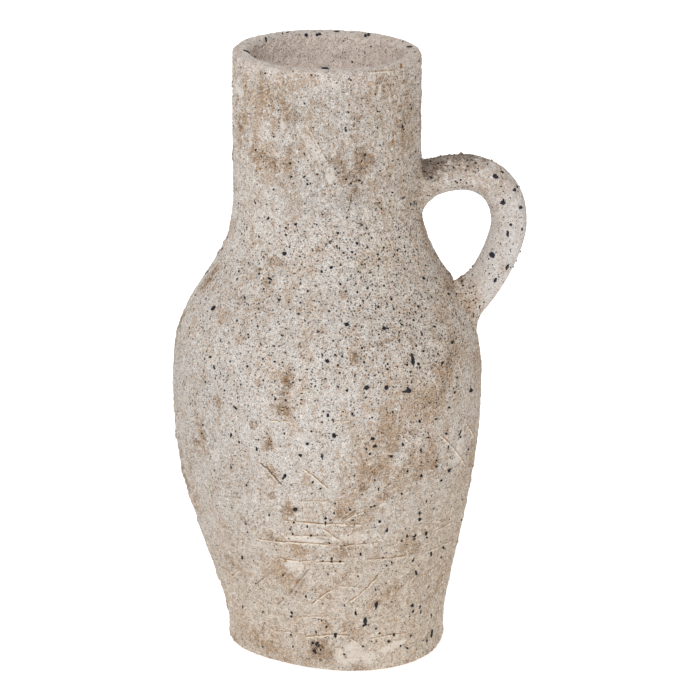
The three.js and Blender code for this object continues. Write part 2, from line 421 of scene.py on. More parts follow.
def between(tree, value, low, high, to_low=0.0, to_high=1.0):
    """A smooth step from one value to another as an input passes from low to high."""
    given = {"Value": value, "From Min": low, "From Max": high, "To Min": to_low, "To Max": to_high}
    return worked(tree, "ShaderNodeMapRange", given, interpolation_type="SMOOTHSTEP")


def wave(tree, place, size, detail=2.0, rough=0.5, seed=None):
    """Cloudy noise from 0 to 1 whose lumps are about size millimetres across."""
    given = {"Vector": place, "Scale": 1 / size, "Detail": detail, "Roughness": rough}
    if seed is not None:
        given["W"] = seed
    return worked(tree, "ShaderNodeTexNoise", given, noise_dimensions="3D" if seed is None else "4D")


def new_tree(name, sizes, material):
    """An empty geometry tree, its inputs (a shape, named sizes and a material), and what they give."""
    tree = bpy.data.node_groups.new(name, "GeometryNodeTree")
    tree.interface.new_socket("Geometry", in_out="OUTPUT", socket_type="NodeSocketGeometry")
    kinds = {"Geometry": "Geometry", **dict.fromkeys(sizes, "Float"), material: "Material"}
    inputs = {key: tree.interface.new_socket(key, in_out="INPUT", socket_type="NodeSocket" + kind)
              for key, kind in kinds.items()}
    return tree, inputs, tree.nodes.new("NodeGroupInput").outputs


def kept(tree, name, kind="FLOAT"):
    """Reads a stored value of the mesh in a geometry tree."""
    return worked(tree, "GeometryNodeInputNamedAttribute", {"Name": name}, data_type=kind)


def coat(tree, shape, material):
    """Ends a geometry tree: the shape gets its material and goes out."""
    coated = worked(tree, "GeometryNodeSetMaterial", {"Geometry": shape, "Material": material})
    tree.links.new(coated, tree.nodes.new("NodeGroupOutput").inputs[0])


WRINKLE_MM = 4.0
CRUMB_MM = 1.9
BURR_WIDTH = 0.0011
fired_skin, skin_inputs, skin_given = new_tree(
    "fired_clay_skin", ("Hand unevenness", "Lump height", "Grain height", "Wrinkle height", "Crust height",
                        "Stroke height", "Seed"), "Clay")
times, plus, less, bare_size = sums_in(fired_skin)
step = partial(between, fired_skin)
skin_seed = skin_given["Seed"]
place = in_millimetres(fired_skin, worked(fired_skin, "GeometryNodeInputPosition"))
roughened = less(1.0, times(step(kept(fired_skin, "smear"), 0.45, 0.58), 0.75))
height = 0.0
relief = 0.0
for lump_mm, detail, height_name, share, weight in ((34, 1, "Hand unevenness", 1.0, 0.0),
                                                    (5.0, 2, "Lump height", roughened, 0.4),
                                                    (1.7, 1, "Grain height", roughened, 0.5)):
    lumps = wave(fired_skin, place, lump_mm, detail, 0.5, skin_seed)
    lumps = times(plus(lumps, 2.0, -1.0), share)
    relief = plus(lumps, weight, relief)
    height = plus(lumps, skin_given[height_name], height)
wrinkles = bare_size(less(wave(fired_skin, place, WRINKLE_MM, 2, 0.55, skin_seed), 0.5))
wrinkles = times(step(wrinkles, 0.0, 0.09, 1.0, -0.3), roughened)
wrinkles = times(wrinkles, kept(fired_skin, "wrinkled"))
relief = plus(wrinkles, 0.3, relief)
height = plus(wrinkles, skin_given["Wrinkle height"], height)
crumbs = step(wave(fired_skin, place, CRUMB_MM, 1, 0.6, skin_seed), 0.35, 0.65, 0.15, 1.0)
crumbs = times(crumbs, step(kept(fired_skin, "crust"), 0.35, 0.75))
height = plus(crumbs, skin_given["Crust height"], height)
ridge = step(bare_size(kept(fired_skin, "stroke_side")), 0.0, BURR_WIDTH, 1.0, 0.0)
ridge = times(ridge, kept(fired_skin, "stroke_weight"))
height = plus(ridge, skin_given["Stroke height"], height)
height = times(height, kept(fired_skin, "coarseness"))
noted = worked(fired_skin, "GeometryNodeStoreNamedAttribute",
               {"Geometry": skin_given["Geometry"], "Name": "relief", "Value": relief},
               data_type="FLOAT", domain="POINT")
push = scaled(fired_skin, kept(fired_skin, "outward", "FLOAT_VECTOR"), height)
pushed = worked(fired_skin, "GeometryNodeSetPosition", {"Geometry": noted, "Offset": push})
whole = worked(fired_skin, "GeometryNodeRealizeInstances", {"Geometry": pushed})
coat(fired_skin, whole, skin_given["Clay"])


def made_by(tree, inputs, piece, values):
    """Runs a geometry tree on a piece and keeps the result as its plain mesh."""
    worker = piece.modifiers.new(tree.name, "NODES")
    worker.node_group = tree
    for name, value in values.items():
        worker[inputs[name].identifier] = value
    seen = bpy.context.evaluated_depsgraph_get()
    result = bpy.data.meshes.new_from_object(piece.evaluated_get(seen), preserve_all_data_layers=True,
                                             depsgraph=seen)
    piece.modifiers.remove(worker)
    piece.data = result
    result.name = piece.name


def from_screen(red, green, blue):
    """A colour as a screen shows it, 0 to 255, in the linear values that shaders use."""
    parts = [c / 255 for c in (red, green, blue)]
    return tuple(c / 12.92 if c <= 0.04045 else ((c + 0.055) / 1.055) ** 2.4 for c in parts) + (1.0,)


def new_material(name):
    """A material, its node tree and its shader."""
    made = bpy.data.materials.new(name)
    made.use_nodes = True
    return made, made.node_tree, made.node_tree.nodes["Principled BSDF"]


def specks(tree, place, cell, share, small, large, soft, density):
    """Scattered round grains: one in a share of cells of that many millimetres, of random size."""
    times, plus, less, _ = sums_in(tree)
    cells = add_node(tree, "ShaderNodeTexVoronoi", {"Vector": place, "Scale": 1 / cell, "Randomness": 1.0})
    chance = add_node(tree, "ShaderNodeSeparateColor", {0: cells.outputs["Color"]}).outputs
    size = plus(chance[0], (large - small) / cell, small / cell)
    dot = sums(tree, "DIVIDE", less(size, cells.outputs["Distance"]), soft, clamp=True)
    return times(dot, sums(tree, "LESS_THAN", chance[1], times(density, share)))


def blended(tree, share, below, above):
    """Two colours mixed by a share from 0 to 1."""
    made = add_node(tree, "ShaderNodeMix", {"Factor": share, 6: below, 7: above}, data_type="RGBA")
    return made.outputs[2]


LINING_WITH_PAINTED_LIGHT = from_screen(247, 233, 223)
SLIP_CREAM = from_screen(216, 211, 204)
BURR_CREAM_AND_HIGHLIGHT = from_screen(234, 224, 208)
ZONE_TAN = from_screen(167, 142, 114)
FLECK_TAN = from_screen(174, 143, 110)
CRUST_BROWN = from_screen(148, 114, 76)
CREASE_SHADE_BROWN = from_screen(150, 122, 94)
GROOVE_SHADE_BROWN = from_screen(112, 84, 62)


def fired_clay(name, pale, warm, tan, speckle, brown=CRUST_BROWN, stain=0.5):
    """Unglazed coarse clay: cloudy ground, sandy grain, crusts, smears, tool strokes and loose grains."""
    clay, tree, shader = new_material(name)
    times, plus, less, bare_size = sums_in(tree)
    step, noise, mix = partial(between, tree), partial(wave, tree), partial(blended, tree)
    mm = in_millimetres(tree, add_node(tree, "ShaderNodeTexCoord").outputs["Object"])
    shiver = add_node(tree, "ShaderNodeTexNoise", {"Vector": mm, "Scale": 1.3, "Detail": 1.0})
    shiver = vectors(tree, "SUBTRACT", shiver.outputs["Color"], (0.5, 0.5, 0.5))
    ragged = vectors(tree, "MULTIPLY_ADD", shiver, (0.7, 0.7, 0.7), mm)

    def stored(key):
        return add_node(tree, "ShaderNodeAttribute", attribute_name=key).outputs["Fac"]

    # where each kind of surface shows
    cloud = noise(vectors(tree, "MULTIPLY", ragged, (1.0, 1.0, 0.45)), 7.0, 5, 0.62)
    mottle = noise(ragged, 2.6, 3, 0.65)
    clumps = noise(ragged, 1.5, 2, 0.6)
    sand = noise(mm, 0.8, 2, 0.7)
    dust = noise(mm, 0.4, 0)
    relief, zone, inside, scraped = stored("relief"), stored("zone"), stored("inside"), stored("scraped")
    grain = times(plus(stored("coarseness"), 0.85, 0.15), plus(scraped, -0.15, 1.0))
    uneven = plus(cloud, 1.5, plus(mottle, 1.3, -1.4))
    edge = plus(less(noise(mm, 2.8, 3), 0.5), 1.2, stored("smear"))
    smeared = step(edge, 0.4, 0.62)
    rimmed = step(bare_size(less(edge, 0.4)), 0.015, 0.07, 1.0, 0.0)
    zoned = step(plus(zone, 1.0, uneven), 0.35, 1.0)
    edge = plus(less(clumps, 0.5), 1.2, stored("crust"))
    crusty = step(plus(uneven, 0.3, edge), 0.42, 0.76)
    bare = less(1.0, times(smeared, 0.6))
    rough = plus(zoned, 0.3, plus(crusty, 0.4, 0.65))
    rough = plus(inside, 0.1, times(rough, bare))

    # the ground, its tan zones, its crusts and its smears; tan and tan flecks gather in the hollows of the
    # relief and cream slip on its ridges, partly as painted shade and painted highlight
    colour = mix(stored("warmth"), from_screen(*pale), from_screen(*warm))
    ground = plus(cloud, 0.55, plus(mottle, 0.3, 0.075))
    ground = plus(relief, -0.22, plus(zone, 0.1, ground))
    tan_and_hollow_shade = times(step(ground, 0.44, 0.6), plus(zoned, 0.2, 0.3))
    colour = mix(tan_and_hollow_shade, colour, from_screen(*tan))
    colour = mix(times(zoned, 0.32), colour, ZONE_TAN)
    edge = plus(cloud, 0.45, plus(zone, 0.1, -0.225))
    edge = plus(relief, -0.14, plus(edge, 1.0, noise(ragged, 1.7, 3, 0.6)))
    colour = mix(times(step(edge, 0.53, 0.6, 0.0, 0.48), grain), colour, FLECK_TAN)
    slip_and_ridge_light = plus(less(mottle, 0.5), 1.4, relief)
    colour = mix(step(slip_and_ridge_light, 0.12, 0.28, 0.0, 0.22), colour, SLIP_CREAM)
    # brown lines over the wrinkled skin: painted shade in its creases
    painted_crease_shade = bare_size(less(noise(ragged, 2.6, 2, 0.55), 0.5))
    painted_crease_shade = times(step(painted_crease_shade, 0.0, 0.03, 0.42, 0.0), stored("wrinkled"))
    colour = mix(times(painted_crease_shade, bare), colour, CREASE_SHADE_BROWN)
    # the inside gets a lining colour paler than the clay, which also paints the light that falls into the
    # mouth
    colour = mix(times(inside, step(mottle, 0.36, 0.66, 0.95, 0.65)), colour, LINING_WITH_PAINTED_LIGHT)
    colour = mix(times(crusty, stain), colour, brown)
    colour = mix(times(smeared, 0.42), colour, SLIP_CREAM)
    colour = mix(times(rimmed, step(mottle, 0.42, 0.58, 0.0, 0.5)), colour, brown)

    # level streaks of the scraping, and sandy grain, lighter on the grains that the bump raises and darker
    # in the pits as painted shade, lighter or darker again by the painted light tone
    drawn = vectors(tree, "MULTIPLY", mm, (0.16, 0.16, 1.3))
    streaks = less(noise(drawn, 1.0, 3, 0.6), 0.5)
    sand_and_painted_shade = plus(sand, 1.8, plus(dust, 1.5, -1.65))
    sand_and_painted_shade = plus(sand_and_painted_shade, grain, times(relief, 0.36))
    sand_and_painted_shade = plus(sand_and_painted_shade, rough, plus(stored("painted_light_tone"), 1.0, 1.0))
    sand_and_painted_shade = plus(streaks, times(scraped, 0.5), sand_and_painted_shade)
    colour = scaled(tree, colour, sand_and_painted_shade)

    # a tool stroke is a pale burr, pale clay with a painted highlight, with a dark line over it that is its
    # painted shadow; a groove is a dark line of painted shade with a pale lip, partly painted highlight
    side, weight = stored("stroke_side"), stored("stroke_weight")
    burr_light_and_shadow = times(weight, step(mottle, 0.35, 0.55, 0.45, 1.0), clamp=True)
    groove_shade = times(weight, -1.0, clamp=True)
    for at, wide, share, clay_shade in ((-0.0005, 0.0006, times(burr_light_and_shadow, 0.85), brown),
                                        (0.0002, 0.00055, burr_light_and_shadow, BURR_CREAM_AND_HIGHLIGHT),
                                        (0.0009, 0.0006, times(groove_shade, 0.7), SLIP_CREAM),
                                        (0.0, 0.0006, groove_shade, GROOVE_SHADE_BROWN)):
        line = step(bare_size(plus(side, 1.0, at)), wide * 0.25, wide, 1.0, 0.0)
        colour = mix(times(line, share), colour, clay_shade)

    # loose grains: tan, pale, ochre, brown dust, dark, and a few large black ones
    peppered = times(plus(stored("speckle"), 0.15, 0.76), bare)
    thick = times(stored("speckle"), plus(crusty, 0.9, plus(zoned, 0.35, bare)))
    for cell, share, small, large, soft, cover, density, grit in (
            (1.15, 0.34, 0.18, 0.46, 0.12, 0.55, rough, from_screen(150, 121, 92)),
            (1.3, 0.16, 0.2, 0.5, 0.12, 0.5, rough, SLIP_CREAM),
            (2.0, 0.5, 0.25, 0.6, 0.1, 0.65, thick, from_screen(186, 126, 76)),
            (0.85, 0.54, 0.2, 0.4, 0.08, 0.7, peppered, from_screen(92, 79, 70)),
            (1.45, speckle * 0.76, 0.28, 0.52, 0.06, 0.85, thick, from_screen(66, 60, 58)),
            (1.75, speckle * 0.76, 0.28, 0.58, 0.05, 0.9, thick, from_screen(50, 47, 49)),
            (2.7, speckle * 0.5, 0.4, 0.8, 0.05, 0.95, thick, from_screen(36, 35, 40))):
        dots = specks(tree, ragged, cell, share, small, large, soft, density)
        colour = mix(times(dots, cover), colour, grit)

    bumps = times(plus(sand, 0.7, times(dust, 0.3)), rough)
    bump = worked(tree, "ShaderNodeBump", {"Strength": 0.9, "Distance": 0.001, "Height": bumps})
    fill(tree, shader, {"Base Color": colour, "Specular IOR Level": 0.25,
                        "Roughness": step(sand, 0.2, 0.8, 0.95, 0.8), "Normal": bump})
    return clay


body_clay = fired_clay("coarse_body_clay", (204, 199, 194), (198, 185, 170), (184, 160, 137), 0.56)

# Marks as the photograph shows them, in its pixels: the middle, half the width, half the height, and the
# lean in degrees. A tool stroke has its corners and its strength, which is below 0 for a groove.
FOOT_CRUSTS = (
    (322, 652.5, 15, 13, 0), (318, 645, 9, 7, 0), (344, 629, 3, 4, 0), (351, 624, 3, 2.5, 0),
    (351, 639, 4, 3, 0), (263, 628, 2, 2, 0), (377, 615, 4, 2.2, 10), (427, 635, 1.8, 2.6, 0),
    (436, 611, 2, 3, 0), (235, 638, 2.5, 3, 0), (364, 668, 12, 2, 0))
FOOT_ZONES = ((318, 648, 12, 10, 0), (262, 642, 22, 10, 8), (328, 626, 8, 6, 0), (352, 630, 9, 9, -30))
FOOT_SMEARS = ((340, 657, 6, 10, -25), (353, 653, 9, 11, 0), (368, 657, 8, 6, 0), (392, 647, 14, 4, -12))
FOOT_STROKES = (
    (((302.7, 637), (319.3, 635.8), (334.6, 634.5), (352.4, 635.8)), 1.3),
    (((264.4, 624.3), (274.6, 631.4), (293.8, 632)), 0.8), (((300, 616.7), (327, 616.7)), 0.6),
    (((348.6, 637), (357.6, 643.5), (365.2, 648.6)), 0.7),
    (((367.8, 639.6), (380.5, 637), (389.4, 635.2), (408.6, 633.3)), 0.7))


PATCH_TURNS = (-8, 188)
PATCH_TALL = (0.5, 1.4)
PATCH_LEANS = (-40, 40)


def scattered_patches(seed, count, heights, half_sizes):
    """Patches for the sides and the back, which the photograph doesn't show."""
    draw = np.random.default_rng(seed)
    made = []
    for _ in range(count):
        angle = math.radians(draw.uniform(*PATCH_TURNS))
        size = draw.uniform(*half_sizes)
        made.append(patch_at(angle, draw.uniform(*heights), size, size * draw.uniform(*PATCH_TALL),
                             draw.uniform(*PATCH_LEANS)))
    return made


STROKE_TURNS = (-5, 180)
STROKE_SWEEPS = (0.12, 0.4)
STROKE_RISES = (0.0, 0.0, 0.014, 0.02)
STROKE_STRENGTHS = (0.3, 0.8)
STROKE_CORNERS = 14
STROKE_LOWEST = 0.002


def scattered_strokes(seed, count, heights):
    """Tool strokes for the sides and the back: some level, some shorter and rising to the right."""
    draw = np.random.default_rng(seed)
    t = np.linspace(0, 1, STROKE_CORNERS)
    made = []
    for _ in range(count):
        angle, low = math.radians(draw.uniform(*STROKE_TURNS)), draw.uniform(*heights)
        sweep, rise = draw.uniform(*STROKE_SWEEPS), draw.choice(STROKE_RISES)
        z = np.clip(low + rise * t, STROKE_LOWEST, HEIGHT)
        made.append((skin_at(angle + sweep * t * (0.5 if rise else 1), z), draw.uniform(*STROKE_STRENGTHS)))
    return made


def marks_of(crusts, zones=(), smears=(), strokes=(), pales=()):
    """All marks of one part of the jug, by their kinds."""
    kinds = {"crusts": crusts, "zones": zones, "smears": smears, "strokes": strokes, "pales": pales}
    return {kind: list(marks) for kind, marks in kinds.items()}


def joined(below, above):
    """The marks of two parts that meet at a seam."""
    return {kind: below[kind] + above[kind] for kind in below}


foot_marks = marks_of(
    crusts=patches_seen(FOOT_CRUSTS) + scattered_patches(11, 12, (0.002, 0.03), (0.001, 0.006)),
    zones=patches_seen(FOOT_ZONES) + scattered_patches(14, 4, (0.004, 0.03), (0.005, 0.014)),
    smears=patches_seen(FOOT_SMEARS) + scattered_patches(12, 3, (0.004, 0.03), (0.003, 0.006)),
    strokes=strokes_seen(FOOT_STROKES) + scattered_strokes(13, 5, (0.006, 0.03)))

# heights between which each kind of clay starts or ends
SHOULDER_STARTS = (0.145, 0.17)
SHOULDER_ENDS = (0.225, 0.245)
NECK_STARTS = (0.225, 0.245)
NECK_ENDS = (0.296, 0.304)
SPECKLE_STARTS = (0.085, 0.15)
SPECKLE_ENDS = (0.228, 0.25)
LEFT_STARTS = (0.02, 0.05)
LEFT_ENDS = (0.15, 0.17)
RIGHT_FOOT_ENDS = (0.015, 0.04)
WARM_ENDS = (0.03, 0.13)
LOWER_WRINKLES_END = (0.1, 0.14)
NECK_WRINKLES_START = (0.215, 0.245)
SOIL_ENDS = (0.0004, 0.0035)
SCRAPING_ENDS = (0.07, 0.115)
OFF_THE_WALL = (0.001, 0.022)
SPECKLED_TURN = math.radians(35)


def dress(piece, points, facings, coarseness, inside, marks, speckle=None):
    """Stores on a plain piece what its relief and its material read."""
    z = points[:, 2]
    angle = np.arctan2(points[:, 1], points[:, 0] + LEAN)
    right, front = np.cos(angle), -np.sin(angle)
    showing = 1 - inside
    near_wall = 1 - eased(stands_off(points), *OFF_THE_WALL)
    on_shoulder = band(z, SHOULDER_STARTS, SHOULDER_ENDS)
    on_neck = band(z, NECK_STARTS, NECK_ENDS)
    side, weight = stroke_marks(points, facings, marks["strokes"])

    # the grit is thickest on the shoulder and towards the handle
    if speckle is None:
        towards_handle = 0.5 + 0.5 * np.cos(angle + SPECKLED_TURN)
        speckle = 0.22 + 0.54 * eased(z, *SPECKLE_STARTS) - 0.2 * eased(z, *SPECKLE_ENDS)
        speckle += 0.25 * on_shoulder
        speckle *= 0.62 + 0.35 * on_shoulder + 0.55 * (1 + on_shoulder) * towards_handle ** 5

    # painted light and shade: the right of the foot painted lighter and the left of the lower body darker;
    # the shoulder and the left of the neck lighter and the front of the neck darker; the clay warmer
    # towards the foot, and warmer towards the right, the shade side, partly as painted warm shade
    on_left = eased(-right, 0.2, 0.75) * band(z, LEFT_STARTS, LEFT_ENDS)
    foot_right = eased(right, 0.15, 0.6) * (1 - eased(z, *RIGHT_FOOT_ENDS))
    neck_front = eased(front, 0.75, 0.97) * on_neck
    neck_left = eased(-right, 0.35, 0.7) * on_neck
    painted_light_tone = 0.045 * on_shoulder - 0.08 * on_left - 0.055 * neck_front + 0.04 * neck_left + 0.1 * foot_right
    warmth = 0.7 * (1 - eased(z, *WARM_ENDS)) + 0.5 * eased(right, 0.1, 0.9)
    wrinkled = 0.3 + 0.7 * eased(z, *NECK_WRINKLES_START) + 0.45 * (1 - eased(z, *LOWER_WRINKLES_END))
    soiled = 0.5 * (1 - eased(z, *SOIL_ENDS))
    crusts, zones, smears, pales = (patch_depth(points, facings, marks[kind])
                                    for kind in ("crusts", "zones", "smears", "pales"))
    zone = (zones - 0.45 * pales) * (1 - 0.35 * on_neck) + 0.22 * on_neck
    scraped = 1 - eased(z, *SCRAPING_ENDS)
    values = {"outward": facings, "coarseness": coarseness, "inside": inside, "wrinkled": wrinkled,
              "warmth": np.clip(warmth, 0, 1) * near_wall, "painted_light_tone": painted_light_tone * showing * near_wall,
              "speckle": speckle * (1 - 0.45 * inside), "crust": np.maximum(crusts, soiled) * showing,
              "zone": zone * showing, "smear": smears * showing, "scraped": scraped * showing,
              "stroke_side": side, "stroke_weight": weight * showing}
    for name in values:
        keep_values(piece.data, name, values[name])


CLAY_RELIEF = {"Hand unevenness": 0.0004, "Lump height": 0.0008, "Grain height": 0.0003,
               "Wrinkle height": 0.00065, "Crust height": 0.0006, "Stroke height": 0.00024, "Seed": 3.0}


def fired(piece, clay, node):
    """Gives a dressed piece its relief and its clay, in the place of its node."""
    made_by(fired_skin, skin_inputs, piece, {**CLAY_RELIEF, "Clay": clay})
    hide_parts(node)
    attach(piece, "root")


def turned(profile):
    """A profile of radius and height, carried round the axis and settled, and the angle of each point."""
    angle = np.tile(np.arange(ROUND_STEPS) * 2 * math.pi / ROUND_STEPS, len(profile))
    radius, z = np.repeat(profile, ROUND_STEPS, axis=0).T
    return settled(np.stack([radius * np.cos(angle), radius * np.sin(angle), z], axis=1)), angle


def rounded(middle, radius, start, end, steps):
    """Points of a round edge about its middle, between two turns in degrees."""
    turn = np.radians(np.linspace(start, end, steps))
    return np.array(middle) + radius * np.stack([np.cos(turn), np.sin(turn)], axis=1)


SLAB_HUB = 0.002
SLAB_INSET = 0.001
UNDERSIDE_RINGS = 16
EDGE_RINGS = 5
SIDE_RINGS = 16
FLOOR_RINGS = 18
EDGE_COARSENESS = 0.4
slab_profile = np.concatenate([
    np.linspace((SLAB_HUB, 0), (FOOT_RADIUS - FOOT_EDGE - SLAB_INSET, 0), UNDERSIDE_RINGS),
    rounded((FOOT_RADIUS - FOOT_EDGE, FOOT_EDGE), FOOT_EDGE, -90, 0, EDGE_RINGS),
    np.linspace((FOOT_RADIUS, FOOT_EDGE), (FOOT_RADIUS, FOOT_HEIGHT), SIDE_RINGS)[1:],
    np.linspace((FOOT_RADIUS - SLAB_INSET, FOOT_HEIGHT), (SLAB_HUB, FOOT_HEIGHT), FLOOR_RINGS),
])
slab_rows = len(slab_profile)
floor_row = slab_rows - FLOOR_RINGS
slab_ring, slab_angle = turned(slab_profile)
slab_points = np.concatenate([slab_ring, [(0, 0, 0), (-leaned(FOOT_HEIGHT), 0, FOOT_HEIGHT)]])
base_slab = piece_from("base_slab_clay", slab_points,
                       [grid_faces(slab_rows, ROUND_STEPS, False), end_fans(slab_rows, ROUND_STEPS)])
crease_rings(base_slab, [floor_row - 1], ROUND_STEPS)
on_side = np.zeros(slab_rows)
on_side[UNDERSIDE_RINGS + 1:floor_row] = 1
on_side[UNDERSIDE_RINGS + 1] = EDGE_COARSENESS
slab_facing = np.stack([np.cos(slab_angle), np.sin(slab_angle), np.zeros(len(slab_angle))], axis=1)
slab_facing = np.concatenate([slab_facing, [(0, 0, -1), (0, 0, 1)]])
slab_coarseness = np.concatenate([np.repeat(on_side, ROUND_STEPS), [0, 0]])
in_floor = np.concatenate([np.repeat(np.arange(slab_rows) >= floor_row, ROUND_STEPS), [0, 1]]).astype(float)
dress(base_slab, slab_points, slab_facing, slab_coarseness, in_floor, foot_marks)
fired(base_slab, body_clay, "base_slab")

# The lower wall. The first course of coarse clay, luted to the slab and pulled outwards from the foot.
# Its outside was scraped with a wooden tool, which left level lines, rising scratches and pale smears.
LOWER_SEAM_Z = 0.075
LOWER_STREWN = (0.015, 0.08)
SCARF = 0.004
LINING_COARSENESS = 0.65
COURSE_STEPS = 400
LOWER_CRUSTS = (
    (288.5, 511, 7, 5, -10), (274, 539, 4, 4, 0), (343.5, 550, 6.5, 9, 0), (291, 592, 7, 4, -35),
    (338, 513, 5, 6, 0), (301, 583, 3, 7, 35), (377, 588, 4, 3, 0), (230, 560, 3, 6, -20),
    (416, 548, 6, 3, -25), (345, 577, 3, 3, 0))
LOWER_ZONES = (
    (288, 508, 8, 7, 0), (272, 537, 7, 6, 0), (342, 513, 9, 9, 0), (350, 540, 10, 9, 0),
    (300, 551, 22, 5, 0), (280, 575, 16, 12, 35), (378, 603, 8, 8, 0), (330, 590, 12, 7, -35),
    (395, 590, 18, 7, -40), (435, 590, 6, 22, 10), (235, 570, 8, 18, -20), (405, 545, 12, 6, -20))
LOWER_SMEARS = ((294, 565, 9, 6, 15), (304, 540, 20, 3.5, 3), (352, 537, 14, 5, 0))
# The last pale patch, at the right of the foot, is painted light.
LOWER_PALES_AND_FOOT_LIGHT = (
    (376, 569, 16, 9, -25), (345, 592, 14, 8, 0), (400, 572, 16, 7, -40), (300, 605, 20, 12, 0),
    (250, 590, 14, 20, 0), (395, 615, 20, 12, 0), (318, 530, 16, 6, 0), (418, 628, 20, 22, 0))
LOWER_STROKES = (
    (((279.7, 520.4), (301.4, 522.3), (321.8, 524.2), (339.7, 524.2), (366.5, 524.8)), 1.3),
    (((255.5, 537), (262, 539.5), (283.6, 542), (306.5, 543.3), (332, 545.3)), 1.4),
    (((344.8, 545.3), (364, 544), (379, 542.7)), 1.0),
    (((321.8, 528.7), (338.4, 539.5), (342.2, 541.4)), 0.9),
    (((277.2, 558), (286, 560), (302.7, 561.8), (311.6, 561.2)), 1.0),
    (((314.2, 562.5), (347.3, 562.5)), 1.6), (((362.7, 560), (383, 559.3), (408.6, 556)), 0.8),
    (((338.4, 541.4), (346, 546.5), (349.3, 553), (349.3, 558)), 0.7),
    (((288.7, 595), (298.9, 581), (311.6, 565.7)), -0.5),
    (((311.6, 605.2), (321.8, 596.3), (333.3, 588.6)), 1.1),
    (((347.3, 603.9), (358.8, 595.6), (370.3, 584.8), (381.8, 572)), 1.2),
    (((390.7, 597.6), (402.2, 586), (415, 570.8)), -0.4), (((411, 595), (430, 575.9), (439, 562)), -0.4),
    (((233.8, 575.9), (239, 570.8)), 0.7), (((256.8, 583.5), (265.7, 575.9)), -0.6),
    (((277.2, 605.2), (283.6, 598.8)), -0.6), (((338.4, 586), (357.6, 587.3)), 0.7),
    (((343.5, 522.3), (351.2, 515.9), (357.6, 514), (366, 511)), 0.9),
    (((341, 520.5), (350, 514), (356, 512)), -0.5), (((302, 501.6), (330, 501.6)), 0.6),
    (((290, 536), (330, 537)), 0.7), (((434, 532), (455, 520.5)), 0.9),
    (((423.5, 553), (438, 547), (453, 540)), 0.7), (((445, 566), (440, 600), (437, 625)), 0.6),
    (((449, 560), (443, 590)), 0.5))
lower_marks = marks_of(
    crusts=patches_seen(LOWER_CRUSTS) + scattered_patches(21, 30, LOWER_STREWN, (0.001, 0.005)),
    zones=patches_seen(LOWER_ZONES) + scattered_patches(24, 8, LOWER_STREWN, (0.006, 0.018)),
    smears=patches_seen(LOWER_SMEARS) + scattered_patches(22, 9, LOWER_STREWN, (0.002, 0.005)),
    strokes=strokes_seen(LOWER_STROKES) + scattered_strokes(23, 34, (0.014, 0.085)),
    pales=patches_seen(LOWER_PALES_AND_FOOT_LIGHT))


def course(node, low_z, high_z, low_scarf, marks):
    """One course of the wall: a closed ring between two seams that are bevelled towards the inside."""
    fine_z = np.linspace(low_z, high_z, COURSE_STEPS)
    run = np.concatenate([[0], np.cumsum(np.hypot(np.diff(outer_radius(fine_z)), np.diff(fine_z)))])
    outer_z = np.interp(np.linspace(0, run[-1], int(run[-1] / SKIN_STEP) + 1), run, fine_z)
    inner_z = np.linspace(high_z + SCARF, low_z + low_scarf, int(run[-1] / LINING_STEP) + 1)
    profile = np.concatenate([np.stack([outer_radius(outer_z), outer_z], axis=1),
                              np.stack([inner_radius(inner_z), inner_z], axis=1)])
    points, angle = turned(profile)
    piece = piece_from(node + "_clay", points, [grid_faces(len(profile), ROUND_STEPS, True)])
    crease_rings(piece, [0, len(outer_z) - 1, len(outer_z), len(profile) - 1], ROUND_STEPS)
    inside = np.repeat(np.arange(len(profile)) >= len(outer_z), ROUND_STEPS).astype(float)
    facings = skin_at(angle, np.repeat(profile[:, 1], ROUND_STEPS))[1] * (1 - 2 * inside)[:, None]
    dress(piece, points, facings, 1 - (1 - LINING_COARSENESS) * inside, inside, marks)
    fired(piece, body_clay, node)
    return piece


lower_wall = course("lower_wall", FOOT_HEIGHT, LOWER_SEAM_Z, 0.0, joined(foot_marks, lower_marks))

# The belly wall. The second course, pressed out from inside to just past the widest line.
# It is the roughest part, with brown crusts, a long groove, and grit dragged out by the tool.
BELLY_SEAM_Z = 0.150
BELLY_STREWN = (0.08, 0.155)
BELLY_CRUSTS = (
    (281, 409, 10, 9, -15), (269, 446, 4.5, 8, 0), (288, 382, 7, 10, -20), (284, 396, 6, 9, -15),
    (291, 366, 3, 4, 0), (272.5, 496, 5.5, 3.5, 0), (376, 470, 6, 9, 0), (385, 497, 6, 4, 0),
    (362, 488, 4, 6, 0), (392, 448, 7, 5, 20), (443, 390, 4, 6, 0), (450, 360, 5, 13, 10),
    (436, 463, 4, 6, 0), (411, 432, 6, 4, 20), (236, 495, 4, 3, 0), (196, 440, 3, 5, 0),
    (216, 400, 4, 7, -10), (253, 425, 4, 5, 0), (245, 520, 4, 3, 0), (300, 430, 3, 3, 0))
BELLY_ZONES = (
    (383, 430, 25, 34, 0), (377, 443, 8, 10, 0), (366, 474, 24, 28, 0), (350, 512, 22, 22, 0),
    (418, 466, 14, 22, 0), (404, 405, 22, 16, 0), (445, 372, 12, 15, 0), (432, 402, 13, 18, 0),
    (280, 410, 10, 8, -15), (289, 382, 8, 10, -25), (269, 443, 6, 9, 0), (273, 474, 7, 9, 0),
    (201, 432, 5, 26, -12))
BELLY_SMEARS = ((215.8, 456, 3.5, 7, -15), (459, 448, 4, 9, -15))
BELLY_PALES = (
    (318, 462, 22, 34, 0), (345, 400, 26, 20, 0), (250, 452, 10, 26, 0), (420, 505, 16, 10, 0),
    (230, 390, 14, 26, 0), (308, 490, 16, 12, 0))
